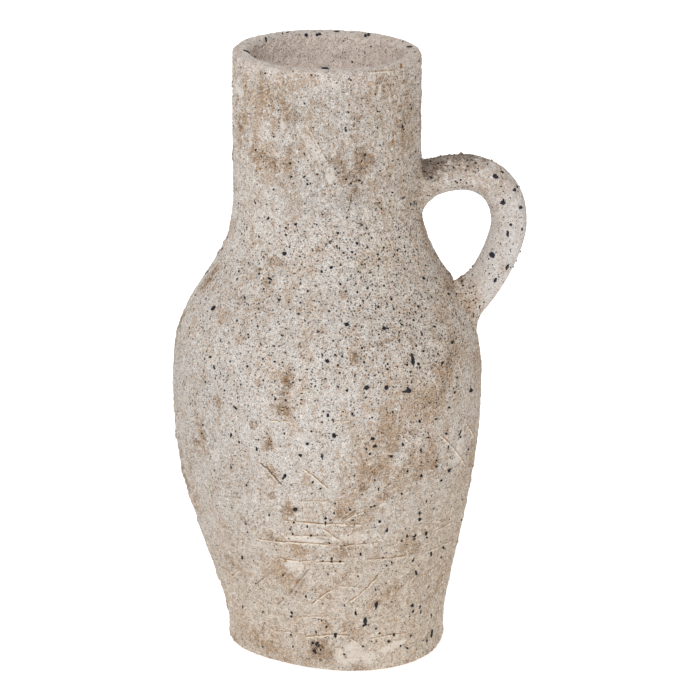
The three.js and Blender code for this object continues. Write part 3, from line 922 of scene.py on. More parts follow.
BELLY_STROKES = (
    (((258, 461), (268, 469.5), (276, 478), (284, 487)), -1.0),
    (((302, 467.8), (314.8, 478), (330, 490.7)), 1.0),
    (((437.3, 433.3), (446, 441), (453.9, 449.9), (459, 456.3), (466, 468)), 1.0),
    (((450, 444), (455.5, 449.5), (461, 457)), -0.8), (((465, 422), (470, 430), (473.5, 437)), 0.9),
    (((399, 433.3), (410.5, 443.5)), 0.7), (((267.7, 420.6), (290.6, 421.8)), 0.8),
    (((330, 421.8), (351.8, 421.2)), 0.6), (((294.4, 400), (321, 399.5)), 0.4),
    (((341, 458), (352, 470)), 0.5), (((292, 494), (310, 489)), 0.5))
belly_marks = marks_of(
    crusts=patches_seen(BELLY_CRUSTS) + scattered_patches(31, 34, BELLY_STREWN, (0.0015, 0.006)),
    zones=patches_seen(BELLY_ZONES) + scattered_patches(34, 9, BELLY_STREWN, (0.006, 0.02)),
    smears=patches_seen(BELLY_SMEARS) + scattered_patches(32, 6, BELLY_STREWN, (0.002, 0.004)),
    strokes=strokes_seen(BELLY_STROKES) + scattered_strokes(33, 14, (0.085, 0.14)),
    pales=patches_seen(BELLY_PALES))
belly_wall = course("belly_wall", LOWER_SEAM_Z, BELLY_SEAM_Z, SCARF, joined(lower_marks, belly_marks))

# The shoulder wall. The third course, drawn in from the belly to the neck over the potter's hand.
# It is sandy all over and the most thickly speckled, above all on the side of the handle.
NECK_SEAM_Z = 0.225
SHOULDER_STREWN = (0.155, 0.23)
SHOULDER_CRUSTS = (
    (317, 250, 3, 5, 0), (212, 277, 3, 5, 0), (303, 236, 3, 3.5, 0), (343, 295, 4, 5, 0),
    (276, 262, 9, 6, 10), (355.5, 358.5, 6.5, 7, 0), (411, 343, 4, 3, 0), (457, 316, 2, 6, 0),
    (258, 270, 5, 3, 30), (242, 300, 4, 6, 10), (300, 345, 4, 3, 0), (380, 345, 5, 4, 0))
# The second zone, beside the handle's lower root, is dark grit and partly painted shade in the corner under
# the roll.
SHOULDER_ZONES = (
    (452, 345, 12, 10, 0), (446, 285, 14, 10, -40), (268, 282, 8, 6, 0), (318, 248, 6, 6, 0),
    (225, 318, 5, 6, 0), (208, 282, 5, 9, 20), (355, 358, 7, 8, 0))
shoulder_marks = marks_of(
    crusts=patches_seen(SHOULDER_CRUSTS) + scattered_patches(41, 40, SHOULDER_STREWN, (0.001, 0.005)),
    zones=patches_seen(SHOULDER_ZONES) + scattered_patches(44, 9, SHOULDER_STREWN, (0.006, 0.015)))
shoulder_wall = course("shoulder_wall", BELLY_SEAM_Z, NECK_SEAM_Z, SCARF,
                       {**joined(belly_marks, shoulder_marks), "strokes": []})

# The neck wall. The fourth course, a straight open tube of the same clay, beaten upright by hand.
# A pale ridge crosses its front, crusts of loose grit run down it, and flakes stand on its left edge.
RIM_SEAM_Z = 0.301
NECK_STREWN = (0.23, 0.3)
NECK_CRUSTS = (
    (285, 107, 3, 12, 0), (296, 116, 4, 8, 0), (263, 90, 6, 4, 0), (240, 125, 3, 7, 0),
    (295, 136.5, 2.5, 4, 0), (288, 149, 4, 6, 0), (264, 156, 5, 4, 20), (274, 165, 4, 5, 0),
    (336, 162, 10, 6, 25), (366, 164, 13, 8, -25), (350, 177, 11, 11, 0), (351, 195, 7, 12, 5),
    (358, 151, 6, 6, 0), (317.5, 184, 2.5, 4, 0), (314, 195, 4, 2.5, 0), (324, 214, 5, 4, 0),
    (298.5, 201, 2, 2.2, 0), (379, 80, 9, 4, 0), (404, 80, 2, 10, 0), (399, 107, 2.5, 6, 0),
    (372, 106.5, 3, 2.5, 0), (410, 108, 2, 5, 0), (360, 225, 5, 4, 0), (281, 185, 4, 3, 0))
NECK_ZONES = (
    (270, 100, 24, 20, 0), (293, 110, 8, 14, 0), (262, 158, 18, 14, 15), (287, 166, 8, 11, 0),
    (245, 122, 8, 14, 0), (352, 170, 17, 18, 0), (352, 192, 8, 10, 0), (385, 90, 16, 11, 0),
    (405, 125, 9, 22, 0))
# Along the pale ridge across the front, a smear, the first two pale patches and the second stroke paint its
# light: a crest of pale clay with a painted highlight, and the stroke's dark line as the painted shadow on
# its right side.
NECK_SMEARS_AND_RIDGE_LIGHT = (
    (283, 126, 3, 5, 0), (278, 155, 3.5, 3, 0), (240, 92, 4, 6, 0), (330, 178, 5, 6, 0),
    (312, 147, 4.5, 20, -30))
NECK_PALES_AND_RIDGE_LIGHT = (
    (315, 146, 9, 26, -30), (300, 142, 10, 16, -30), (296, 192, 30, 13, 15), (262, 122, 14, 7, -20),
    (330, 200, 12, 12, 0), (306, 88, 20, 12, 0))
NECK_STROKES_AND_RIDGE_SHADOW = (
    (((367, 72.5), (380, 72), (394, 70.8)), 0.7), (((305, 122), (312, 134), (319, 147), (331, 169)), 0.6))
neck_marks = marks_of(
    crusts=patches_seen(NECK_CRUSTS) + scattered_patches(51, 50, NECK_STREWN, (0.001, 0.005)),
    zones=patches_seen(NECK_ZONES) + scattered_patches(54, 10, NECK_STREWN, (0.006, 0.014)),
    smears=patches_seen(NECK_SMEARS_AND_RIDGE_LIGHT), strokes=strokes_seen(NECK_STROKES_AND_RIDGE_SHADOW), pales=patches_seen(NECK_PALES_AND_RIDGE_LIGHT))
neck_wall = course("neck_wall", NECK_SEAM_Z, RIM_SEAM_Z, SCARF, joined(shoulder_marks, neck_marks))

# The rim coil. A last thin coil that closes the top edge, wiped round with a wet sponge into the lip.
# The wiping drew the fine clay to the surface, so it is smoother and greyer, with bare grit in it.
LIP_OUTER_ROUND = 0.0015
LIP_INNER_ROUND = 0.003
LIP_COARSENESS = 0.35
LIP_SIDE_RINGS = 12
LIP_TURN_RINGS = 6
LIP_TOP_RINGS = 7
LIP_INNER_RINGS = 9
LIP_BORE_RINGS = 4
WIPED_RINGS = (9, 15)
INSIDE_RINGS = (24, 32)
lip_clay = fired_clay("wiped_lip_clay", (208, 200, 194), (208, 195, 181), (188, 168, 151), 0.45)
lip_bore = NECK_RADIUS - WALL
outer_turn = (NECK_RADIUS - LIP_OUTER_ROUND, HEIGHT - LIP_OUTER_ROUND)
inner_turn = (lip_bore + LIP_INNER_ROUND, HEIGHT - LIP_INNER_ROUND)
lip_profile = np.concatenate([
    np.linspace((NECK_RADIUS, RIM_SEAM_Z), (NECK_RADIUS, outer_turn[1]), LIP_SIDE_RINGS),
    rounded(outer_turn, LIP_OUTER_ROUND, 0, 90, LIP_TURN_RINGS)[1:],
    np.linspace((outer_turn[0], HEIGHT), (inner_turn[0], HEIGHT), LIP_TOP_RINGS)[1:-1],
    rounded(inner_turn, LIP_INNER_ROUND, 90, 180, LIP_INNER_RINGS),
    np.linspace((lip_bore, inner_turn[1]), (lip_bore, RIM_SEAM_Z + SCARF), LIP_BORE_RINGS)[1:],
])
lip_points, lip_angle = turned(lip_profile)
rim_coil = piece_from("rim_coil_clay", lip_points, [grid_faces(len(lip_profile), ROUND_STEPS, True)])
crease_rings(rim_coil, [0, len(lip_profile) - 1], ROUND_STEPS)
lip_way = np.gradient(lip_profile, axis=0)
lip_way[0], lip_way[-1] = (0, 1), (0, -1)
lip_side = np.repeat(unit(np.stack([lip_way[:, 1], -lip_way[:, 0]], axis=1)), ROUND_STEPS, axis=0)
lip_facing = np.stack([lip_side[:, 0] * np.cos(lip_angle), lip_side[:, 0] * np.sin(lip_angle),
                       lip_side[:, 1]], axis=1)
across_lip = np.repeat(np.arange(len(lip_profile)), ROUND_STEPS)
lip_inside = eased(across_lip, *INSIDE_RINGS)
lip_coarseness = 1 - (1 - LIP_COARSENESS) * eased(across_lip, *WIPED_RINGS)
lip_coarseness += (LINING_COARSENESS - LIP_COARSENESS) * lip_inside
dress(rim_coil, lip_points, lip_facing, lip_coarseness, lip_inside, {**neck_marks, "pales": []})
fired(rim_coil, lip_clay, "rim_coil")

# The handle. One round roll of clay, rolled smooth on a board and bent into a loop from neck to shoulder.
# It was set into the scored wall wet, so its ends run a little way into the clay.
HANDLE_RADIUS = 0.00905
HANDLE_DROP = 0.0682
HANDLE_SPAN = 0.0634
HANDLE_REACH = 0.045
HANDLE_LIFT = math.radians(25)
HANDLE_RETURN = math.radians(42)
HANDLE_WIDEST = 0.32
HANDLE_CROWN = 0.69
HANDLE_BACK = 0.33
HANDLE_TUCK = 0.13
HANDLE_BURIED = 0.004
LOOP_STEPS = 500
ROLL_SIDES = 96
ROLL_STEP = 0.00066
CROWN_STARTS = (0.225, 0.24)
CROWN_SPECKLE_ENDS = (0.02, 0.036)
ROOT_SPECKLE_ENDS = (0.001, 0.014)
ROOT_GRAIN_ENDS = (0.001, 0.015)
upper_root = np.array((NECK_RADIUS, HEIGHT - HANDLE_DROP))
lower_root_z = HEIGHT - HANDLE_DROP - HANDLE_SPAN
lower_root = np.array((float(outer_radius(lower_root_z)), lower_root_z))
upwards = np.array((0.0, 1.0))
widest = np.array((NECK_RADIUS + HANDLE_REACH, upper_root[1] - HANDLE_WIDEST * HANDLE_SPAN))
leaving = np.array((math.cos(HANDLE_LIFT), math.sin(HANDLE_LIFT)))
returning = np.array((-math.sin(HANDLE_RETURN), -math.cos(HANDLE_RETURN)))
loop = np.concatenate([
    bent_line(upper_root, upper_root + leaving * HANDLE_CROWN * HANDLE_REACH,
              widest + upwards * HANDLE_BACK * HANDLE_SPAN, widest, LOOP_STEPS),
    bent_line(widest, widest - upwards * HANDLE_TUCK * HANDLE_SPAN,
              lower_root - returning * HANDLE_BACK * HANDLE_SPAN, lower_root, LOOP_STEPS)[1:],
])
loop_run = np.concatenate([[0], np.cumsum(np.linalg.norm(np.diff(loop, axis=0), axis=1))])
LOOP_LENGTH = loop_run[-1]


def on_loop(along):
    """Points of the handle's middle line at distances along it."""
    return np.stack([np.interp(along, loop_run, loop[:, i]) for i in (0, 1)], axis=-1)


def roll_skin(along, turn):
    """Points of the handle's plain skin at distances along its loop and turns round it, and facings."""
    along, turn = np.broadcast_arrays(np.asarray(along, float), np.asarray(turn, float))
    held = np.clip(along, 0, LOOP_LENGTH)
    step = 0.0003
    ahead, behind = np.clip(held + step, 0, LOOP_LENGTH), np.clip(held - step, 0, LOOP_LENGTH)
    way = unit(on_loop(ahead) - on_loop(behind))
    middle = on_loop(held) + way * (along - held)[..., None]
    out = np.stack([-way[..., 1] * np.cos(turn), np.sin(turn), way[..., 0] * np.cos(turn)], axis=-1)
    middle = np.stack([middle[..., 0], np.zeros(along.shape), middle[..., 1]], axis=-1)
    points = middle + HANDLE_RADIUS * out
    return settled(points.reshape(-1, 3)).reshape(points.shape), out


def patches_on_roll(marks):
    """Patches on the handle's skin: their place along the loop, turn in degrees, and two half-sizes."""
    made = []
    for along, turn, half_along, half_around in marks:
        spots, outs = roll_skin([along, along + 0.0005], [math.radians(turn)] * 2)
        way = unit(spots[1] - spots[0])
        made.append((spots[0], half_along * way, half_around * np.cross(outs[0], way), outs[0]))
    return made


# The dark crusts on the crown by the neck and at the lower root, and the zones round both roots, are dark
# grit and stain, and partly painted shade in the corners where the roll meets the wall.
HANDLE_CRUSTS_AND_ROOT_SHADE = ((0.006, -15, 0.015, 0.012), (0.020, 5, 0.016, 0.007), (0.004, 50, 0.010, 0.010),
                 (LOOP_LENGTH - 0.004, 175, 0.008, 0.010))
HANDLE_ZONES = ((0.012, -60, 0.014, 0.012), (0.045, 20, 0.030, 0.004), (0.012, 70, 0.014, 0.012),
                (0.075, 10, 0.016, 0.004), (0.026, -55, 0.020, 0.012), (0.030, 40, 0.018, 0.010),
                (LOOP_LENGTH + 0.004, -100, 0.010, 0.012), (LOOP_LENGTH, 180, 0.010, 0.012))
handle_marks = marks_of(crusts=patches_on_roll(HANDLE_CRUSTS_AND_ROOT_SHADE), zones=patches_on_roll(HANDLE_ZONES))
# Its dark brown colours those root crusts, partly as painted shade.
handle_clay = fired_clay("rolled_handle_clay", (210, 205, 201), (199, 186, 168), (190, 172, 158), 0.44,
                         brown=from_screen(76, 63, 52), stain=0.6)
roll_along = np.linspace(-HANDLE_BURIED, LOOP_LENGTH + HANDLE_BURIED,
                         int((LOOP_LENGTH + 2 * HANDLE_BURIED) / ROLL_STEP))
roll_rows = len(roll_along)
roll_turn = np.arange(ROLL_SIDES) * 2 * math.pi / ROLL_SIDES
roll_points, roll_facing = roll_skin(roll_along[:, None], roll_turn[None, :])
roll_points, roll_facing = roll_points.reshape(-1, 3), roll_facing.reshape(-1, 3)
all_roll = np.concatenate([roll_points, [roll_points[:ROLL_SIDES].mean(axis=0),
                                         roll_points[-ROLL_SIDES:].mean(axis=0)]])
handle = piece_from("handle_roll", all_roll,
                    [grid_faces(roll_rows, ROLL_SIDES, False), end_fans(roll_rows, ROLL_SIDES)])
roll_off = stands_off(all_roll)
on_crown = eased(all_roll[:, 2], *CROWN_STARTS)
# Dark grit thickens near both roots, partly as painted shade in the corners.
roll_speckle_and_root_shade = 0.5 + 0.6 * on_crown * (1 - eased(roll_off, *CROWN_SPECKLE_ENDS))
roll_speckle_and_root_shade += 0.8 * (1 - on_crown) * (1 - eased(roll_off, *ROOT_SPECKLE_ENDS))
roll_coarseness = 0.25 + 0.5 * (1 - eased(roll_off, *ROOT_GRAIN_ENDS))
roll_coarseness[-2:] = 0
dress(handle, all_roll, np.concatenate([roll_facing, [(1, 0, 0), (1, 0, 0)]]), roll_coarseness,
      np.zeros(len(all_roll)), handle_marks, speckle=roll_speckle_and_root_shade)
fired(handle, handle_clay, "handle")

# The two handle welds. Soft clay thumbed into the corner between the roll and the wall at each root.
# It is smoothed outwards both ways, so it thins to nothing on the roll and on the wall.
WELD_SUNK = 0.00014
WELD_BACK = 0.0011
WELD_ROUND = 96
WELD_CURVE = 16
WELD_EDGE_COARSENESS = 0.6
WELD_SOUGHT_FROM = -0.016
WELD_SOUGHT_TO = 0.026
WELD_SOUGHT_STEPS = 260


def weld(name, node, root, way, rolled, spread, filled):
    """A fillet round one end of the handle. rolled, spread and filled give its reach along the roll and the
    wall and how full its hollow is, each at the inside and at the outside of the loop."""
    turn = np.arange(WELD_ROUND) * 2 * math.pi / WELD_ROUND
    outer_share = 0.5 + 0.5 * np.cos(turn)
    rolled, spread, filled = (inner + (outer - inner) * outer_share
                              for inner, outer in (rolled, spread, filled))
    reach = np.linspace(WELD_SOUGHT_FROM, WELD_SOUGHT_TO, WELD_SOUGHT_STEPS)
    lines, _ = roll_skin(root + way * reach[None, :], turn[:, None])
    free = stands_off(lines.reshape(-1, 3)).reshape(lines.shape[:2]) > 0
    leaves_wall = reach[np.argmax(free, axis=1)]
    corner, out = roll_skin(root + way * leaves_wall, turn)
    on_roll, roll_out = roll_skin(root + way * (leaves_wall + rolled), turn)

    def to_skin(points):
        return skin_at(np.arctan2(points[:, 1], points[:, 0] + LEAN), points[:, 2])

    wall_out = to_skin(corner)[1]
    aside = unit(out - np.einsum("ij,ij->i", out, wall_out)[:, None] * wall_out)
    on_wall, wall_out = to_skin(corner + aside * spread[:, None])
    low, high = on_wall - WELD_SUNK * wall_out, on_roll - WELD_SUNK * roll_out
    t = np.linspace(0, 1, WELD_CURVE)[:, None, None]
    hollow = corner + filled[:, None] * ((low + high) / 2 - corner)
    shown = (1 - t) ** 2 * low + 2 * t * (1 - t) * hollow + t ** 2 * high
    hidden = np.stack([high - WELD_BACK * roll_out, corner - WELD_BACK * (out + wall_out),
                       low - WELD_BACK * wall_out])
    section = np.concatenate([shown, hidden])
    points = section.reshape(-1, 3)
    piece = piece_from(name, points, [grid_faces(len(section), WELD_ROUND, True)])
    crease_rings(piece, [0, WELD_CURVE - 1], WELD_ROUND)
    blend = np.concatenate([(1 - t) * wall_out + t * roll_out, np.zeros(hidden.shape)]).reshape(-1, 3)
    blend /= np.maximum(np.linalg.norm(blend, axis=1), 1e-9)[:, None]
    cover = np.concatenate([np.linspace(1, WELD_EDGE_COARSENESS, WELD_CURVE), np.zeros(len(hidden))])
    dress(piece, points, blend, np.repeat(cover, WELD_ROUND), np.zeros(len(points)), handle_marks)
    fired(piece, handle_clay, node)
    return piece


upper_weld = weld("upper_weld_clay", "upper_handle_weld", 0.0, 1.0,
                  rolled=(0.010, 0.0085), spread=(0.006, 0.0035), filled=(0.5, 0.0))
lower_weld = weld("lower_weld_clay", "lower_handle_weld", LOOP_LENGTH, -1.0,
                  rolled=(0.0135, 0.010), spread=(0.0035, 0.009), filled=(0.8, 0.0))

# The dark grit. Angular chips of iron-rich stone in the clay, laid bare where the wet skin was scraped.
# Each is bedded in the wall and shows only its worn face, which stands a little proud of the clay.
# Read from the photograph in pixels: a chip's middle, its width, its height if other, and its lean.
CHIP_PROUD = 0.00026
CHIP_FULL = 1.25
BESIDE_PX = 1.6
NEAREST_CLAY = 0.004
UNSEEN_TURNS = (-5, 185)
ROLL_CHIPS = 34
ROLL_CHIP_TURNS = (10, 170)
UPPER_ROOT_CLEAR = 0.008
LOWER_ROOT_CLEAR = 0.012
NECK_GRIT = (
    (265.2, 73, 1.7), (313.4, 127.5, 1.9, 1.4), (274, 136.7, 2, 1.5), (346, 130.5, 2, 2.8),
    (348.3, 112, 1.7), (377.8, 111.5, 1.8), (402.7, 126.5, 2.2, 3.4), (348.7, 78.5, 1.8),
    (411.1, 108.8, 1.7, 4.6), (298.5, 161.5, 2), (291.7, 177, 2.4, 2.1), (317.2, 173.9, 2.1),
    (303.8, 177.2, 1.8), (307.5, 183.9, 2.4), (310.5, 183.7, 1.7), (273.6, 189.5, 1.8),
    (255.2, 202.6, 1.7, 2.8, -20), (335, 184.2, 2), (335.2, 169, 1.8), (290, 163.5, 1.7), (361.7, 161, 2.1),
    (365.2, 154.7, 1.7, 3.8), (380.1, 145.3, 2.1, 1.5), (380.1, 170.8, 1.8, 2.6), (359.3, 180.5, 2.3),
    (346, 179.4, 2.1), (351, 183.4, 2), (392.3, 192.7, 1.9), (350.5, 199.7, 1.8), (392.7, 160.8, 2, 1.5),
    (397.7, 159.7, 2, 1.5), (379.3, 202.3, 2.4, 1.7), (381.5, 208.7, 1.9), (402.7, 198.2, 1.7),
    (413.8, 202.5, 1.8, 3.8), (347.2, 217.4, 2), (348.3, 209.8, 1.8), (256.4, 150.2, 3, 2.3))
SHOULDER_GRIT = (
    (284.6, 253.7, 3.7), (331.3, 267.7, 3.3, 3), (356.9, 243.3, 2.7), (270, 278.7, 1.8, 5, -58),
    (267.9, 218.6, 1.6, 3.3, -25), (295.8, 224.6, 2.8, 1.9, 20), (316.7, 224.6, 1.7),
    (238.9, 271.5, 2.3, 3), (244.7, 297.6, 1.9, 2.9, -25), (279.7, 299.7, 2.5), (213.6, 308.1, 2.3, 5, 55),
    (298.5, 313.8, 3.4, 1.8), (336.8, 246.1, 2.1), (337.8, 233, 2.1), (352.1, 252.3, 2.4, 2.9),
    (343.7, 252.9, 2.1), (300.2, 256.6, 1.9), (340.3, 284.2, 2.1), (357.4, 292, 2.1, 2.5),
    (321.5, 271.7, 2.3), (259.3, 273.6, 2.1), (345.9, 337.6, 1.9, 2.7), (397.4, 250.3, 2.5),
    (383.7, 247.2, 1.9), (379.2, 259.1, 2.3), (423.4, 278.2, 2.6), (391.4, 299.1, 3.2, 2.2),
    (363, 301, 2.3), (378, 307.2, 2.1), (393.6, 308.9, 2.1), (418.2, 306.7, 2.3), (456.3, 294.3, 1.9, 2.7),
    (448.1, 294.3, 1.9, 2.7), (413.5, 320.3, 2.1), (434.5, 326.8, 1.9), (401.2, 324.4, 4.4, 1.4, 18),
    (346.5, 324.4, 4.6, 3.5), (349.6, 326.5, 1.8), (384.2, 328.2, 3.7, 3.3), (387.8, 328.4, 1.9),
    (421.9, 334.2, 2.1, 2.9), (281.9, 335.5, 1.5, 3.8, -40), (260.8, 344.1, 1.6, 3.2, -30),
    (248.4, 337.5, 1.6), (248.4, 334.5, 1.6))
BELLY_GRIT = (
    (327.1, 361.4, 4), (214.2, 367.3, 1.8, 4, -25), (210.8, 356.9, 2.5), (342.3, 356.4, 2.3),
    (235, 407.8, 1.5, 5.7, -40), (231.3, 434.1, 2.4, 5.5, 20), (231.1, 466.6, 1.9, 5.5),
    (203.2, 425, 1.7, 3, -20), (202, 433.2, 1.8), (327.8, 415.4, 3.3, 4.3), (334, 435.3, 3.9, 5),
    (307.1, 443.9, 2.7), (300, 455.1, 3.9, 3.6), (322, 456, 1.8, 5), (256.7, 449, 1.9, 3.9),
    (275.6, 398.9, 2, 2.4), (282.3, 362.6, 2.1), (301.5, 399.7, 1.8), (337.7, 365.3, 2, 2.7),
    (338, 386.9, 2.1), (292.7, 382.5, 1.9), (325.4, 378.6, 2.4, 1.4), (364.2, 362.4, 2.7),
    (387.9, 364.2, 2.1), (374.8, 375.7, 2.1), (378.5, 372.4, 1.4, 2.1), (412.8, 361, 4.3, 7),
    (412, 355.5, 2, 5), (418.5, 364, 3), (419.5, 367.5, 1.6, 3), (406.8, 365, 1.9),
    (442.2, 363.1, 2, 4, 25), (452.5, 342.2, 2, 3.9, 30), (416.1, 345.6, 1.9, 2.7), (423.1, 351.2, 2.1),
    (366.4, 387.8, 4.6, 4.3), (386.7, 387.8, 4.1, 4.3), (408.5, 390.8, 6.5, 4.4), (404.2, 391.6, 3, 2),
    (408, 388.1, 2.4, 2.6), (347, 390.5, 2.3, 2.9), (352.3, 414, 2.6), (392.4, 411.9, 2.1),
    (419.7, 421.3, 2.3, 3), (435.6, 419.2, 2.9, 1.9), (448.7, 407.6, 2.1), (372.6, 438.7, 4, 3),
    (374.7, 446.3, 4, 3.8), (403, 444.3, 2.4, 3.7, -25), (420.7, 449.9, 2.2, 3), (391.3, 456.2, 3, 2.3),
    (369.7, 454, 2.2), (470.5, 390.3, 2.4, 4.8), (454.4, 392.7, 1.9, 2.9), (456.8, 377.4, 1.9),
    (448.4, 446, 1.6, 6), (460, 433, 1.1, 6, 25), (460.5, 437, 1.9, 2.2), (427.5, 437.5, 2.9, 1.4),
    (446.3, 433.6, 1.9), (407.5, 471.1, 2.2, 2.8), (421.4, 475.5, 2.5, 3.3), (449.3, 470.5, 2.3, 4.2, 25),
    (440.9, 480.4, 3, 2.3), (401.9, 493.8, 1.9, 2.5), (468.1, 449.1, 1.7), (436.3, 466.7, 2.2, 1.9),
    (239.1, 442.1, 1.5, 3.3, -25), (247.5, 483.4, 2.5, 5.3, 25), (387.4, 369.3, 2.6),
    (283.5, 478, 2.6, 8.5, 30), (284.8, 475.6, 3.2, 4, 30), (312.7, 482.1, 2.4), (320.6, 488.5, 2.4, 1.9),
    (378.4, 489.4, 1.9, 3.6), (374.9, 480.1, 1.9))
LOWER_GRIT = (
    (295, 509.5, 4.2, 3.8), (325.4, 518.6, 2.4), (325.4, 523.2, 2, 3.8), (335.2, 503.8, 2.1),
    (350, 509.6, 2.2), (334.2, 513.2, 2.1), (330.2, 519.7, 1.9), (293.7, 522.4, 2.3, 1.5),
    (307.4, 526.6, 1.7, 2.7), (290.4, 529.1, 1.7, 2.3), (292.6, 533.9, 2.1), (311, 535.8, 2.5),
    (379.4, 521.8, 2.5, 3.2), (387, 529.8, 2.8, 5.2), (371, 506.8, 2.3, 2), (374.4, 505.9, 2.6, 1.9),
    (331.6, 558.6, 2.6), (331.4, 561.5, 1.8), (360.4, 553.9, 1.9, 3.7), (283.3, 575.1, 2.2, 2.6),
    (386.4, 565.7, 2), (375.9, 589, 2.1, 3.9), (306.1, 596.2, 2.2, 2.5), (358, 576.3, 2),
    (269.1, 514.8, 2.1), (419.2, 513, 1.9, 3.8), (419.2, 519.3, 3.4, 3.2), (405.4, 528.5, 1.4, 2.7),
    (407.1, 536.1, 1.9, 4, 10), (414.2, 535.6, 4.2, 3.4), (413.8, 539.2, 3.8, 1.5),
    (426.1, 533.3, 2.3, 5.2, 20), (426.8, 537.5, 1.9), (401.6, 540.8, 2), (383.1, 557.4, 1.7, 2.1),
    (391.6, 562.1, 1.8, 2.1), (413.2, 560, 2.2, 4.5, 15), (431, 553.6, 1.4, 5), (416, 572.7, 2, 5.7, -10),
    (428.4, 586.5, 1.5, 6.5, 25), (443.3, 547.8, 1.5, 2.7), (353.4, 520, 1.7, 2.1), (242.4, 557.4, 2, 3.7),
    (245.9, 523.3, 1.3, 3.2), (247.5, 532.5, 1.6))
FOOT_GRIT = (
    (376.3, 605.2, 2.8, 8, 8), (355.7, 613, 2, 4.3), (412.1, 605.7, 2.7, 2.9), (413.2, 611.3, 2.2, 3.2),
    (420.1, 607, 1.7, 3.4), (420.6, 611.3, 1.6, 4.4), (291.9, 612.7, 3.1), (291.2, 616.3, 2.3),
    (262.9, 612.1, 1.6, 3.5, 40), (243.5, 606, 2, 5.4, 15), (317.8, 644.2, 4.9, 4.6),
    (312.7, 643, 2.1, 2.7), (314.8, 651.3, 3.8, 4.3), (320.4, 649.7, 2.3), (335.6, 635.4, 2.6, 4.6),
    (316, 631.9, 2.1, 2.7), (344.6, 605.5, 2), (321.5, 620.1, 2.1), (326.3, 627.1, 1.6, 2.9),
    (291.2, 634.8, 2.1), (262.9, 646.4, 2), (344.1, 654.4, 2.1), (365.2, 620.6, 3.6, 6, 10),
    (364.3, 624.6, 3.8, 6.4, 10), (379.5, 633.3, 2, 2.5), (393.8, 634.7, 2.2, 3.2), (410.8, 635.9, 2.2),
    (388.7, 641.3, 2.2), (400.3, 646.1, 1.8, 2.7), (407.1, 647.9, 1.8), (427, 641.1, 1.8, 3.5, 20),
    (431.8, 633.8, 1.4, 9, 8), (431, 615.6, 1.5, 4.1), (362.8, 646.3, 2.2, 2), (375.9, 628.5, 2))
RIM_GRIT = (
    (265.9, 39.9, 2.1, 6), (287.1, 32.6, 3, 1.7), (282.5, 33.6, 1.7), (306.1, 35.3, 3.4, 3.6),
    (316.8, 35, 2.6, 3), (319.6, 34, 2.4, 2.6), (336.7, 31.5, 5.4, 2), (365.4, 35.6, 3, 3.4),
    (368.4, 34.2, 3, 3), (352.2, 61.9, 2.2), (370.9, 46.4, 1.5), (343.4, 41, 1.5), (409.2, 46.8, 5.7, 1.6),
    (403, 41.7, 1.5), (415.3, 52.1, 2.3, 1.2), (325.6, 69, 7.4, 3), (247, 51.6, 7, 1.5, 33),
    (254.5, 56.7, 2, 1.6))
HANDLE_GRIT = (
    (425.3, 172.1, 3.2, 2.2), (438.3, 163.3, 2.1), (430.7, 177.4, 3, 2.3), (495.7, 176.2, 5.6, 4.6),
    (514.6, 190, 4, 3.4), (517.3, 187, 1.7, 2.9), (502.8, 202.6, 4.6, 4), (503.4, 200, 2, 3.4),
    (520.2, 207.7, 3.2, 3.4), (510.6, 224.6, 2.6), (507.8, 233.6, 2.5, 6.3), (492.3, 254.8, 4.8, 6.3),
    (507.5, 267.4, 2.7, 7, 20), (495.5, 280.3, 3.3, 5, 20), (522.1, 229, 1.7, 3.4), (502.4, 172.1, 3, 1.8),
    (465.9, 169.6, 2.5, 1.6), (475.6, 163, 2), (489.4, 273.5, 1.6), (457.2, 182.5, 1.8), (460.7, 180, 1.8),
    (455.5, 181.3, 1.8), (452.9, 282.2, 2.3))

sunk_chips, chip_inputs, chip_given = new_tree("sunk_chips", ("Raggedness", "Corner size", "Seed"), "Stone")
lump = worked(sunk_chips, "GeometryNodeMeshIcoSphere", {"Radius": 1.0, "Subdivisions": 1})
half_size = kept(sunk_chips, "half_size", "FLOAT_VECTOR")
bedded_lumps = worked(sunk_chips, "GeometryNodeInstanceOnPoints",
                      {"Points": chip_given["Geometry"], "Instance": lump, "Scale": half_size,
                       "Rotation": kept(sunk_chips, "turn", "FLOAT_VECTOR")})
whole = worked(sunk_chips, "GeometryNodeRealizeInstances", {"Geometry": bedded_lumps})
place = worked(sunk_chips, "GeometryNodeInputPosition")
break_up = add_node(sunk_chips, "ShaderNodeTexNoise",
                    {"Vector": place, "W": chip_given["Seed"], "Detail": 0.0,
                     "Scale": sums(sunk_chips, "DIVIDE", 1.0, chip_given["Corner size"])},
                    noise_dimensions="4D").outputs["Color"]
break_up = vectors(sunk_chips, "SUBTRACT", break_up, (0.5, 0.5, 0.5))
break_up = vectors(sunk_chips, "MULTIPLY", break_up, half_size)
break_up = scaled(sunk_chips, break_up, chip_given["Raggedness"])
broken = worked(sunk_chips, "GeometryNodeSetPosition", {"Geometry": whole, "Offset": break_up})
sharp = worked(sunk_chips, "GeometryNodeSetShadeSmooth", {"Geometry": broken, "Shade Smooth": False})
coat(sunk_chips, sharp, chip_given["Stone"])

now = bpy.context.evaluated_depsgraph_get()
clay_pieces = (base_slab, lower_wall, belly_wall, shoulder_wall, neck_wall, rim_coil, handle, upper_weld,
               lower_weld)
clay_shapes = [BVHTree.FromObject(piece, now) for piece in clay_pieces]


def struck(u, v):
    """The spot of the finished clay that shows at a pixel of the photograph, and its facing."""
    best = None
    for shape in clay_shapes:
        spot, facing, _, reach = shape.ray_cast(CAMERA_AT, sight_line(u, v))
        if spot and (best is None or reach < best[2]):
            best = (np.array(spot), np.array(facing), reach)
    return best


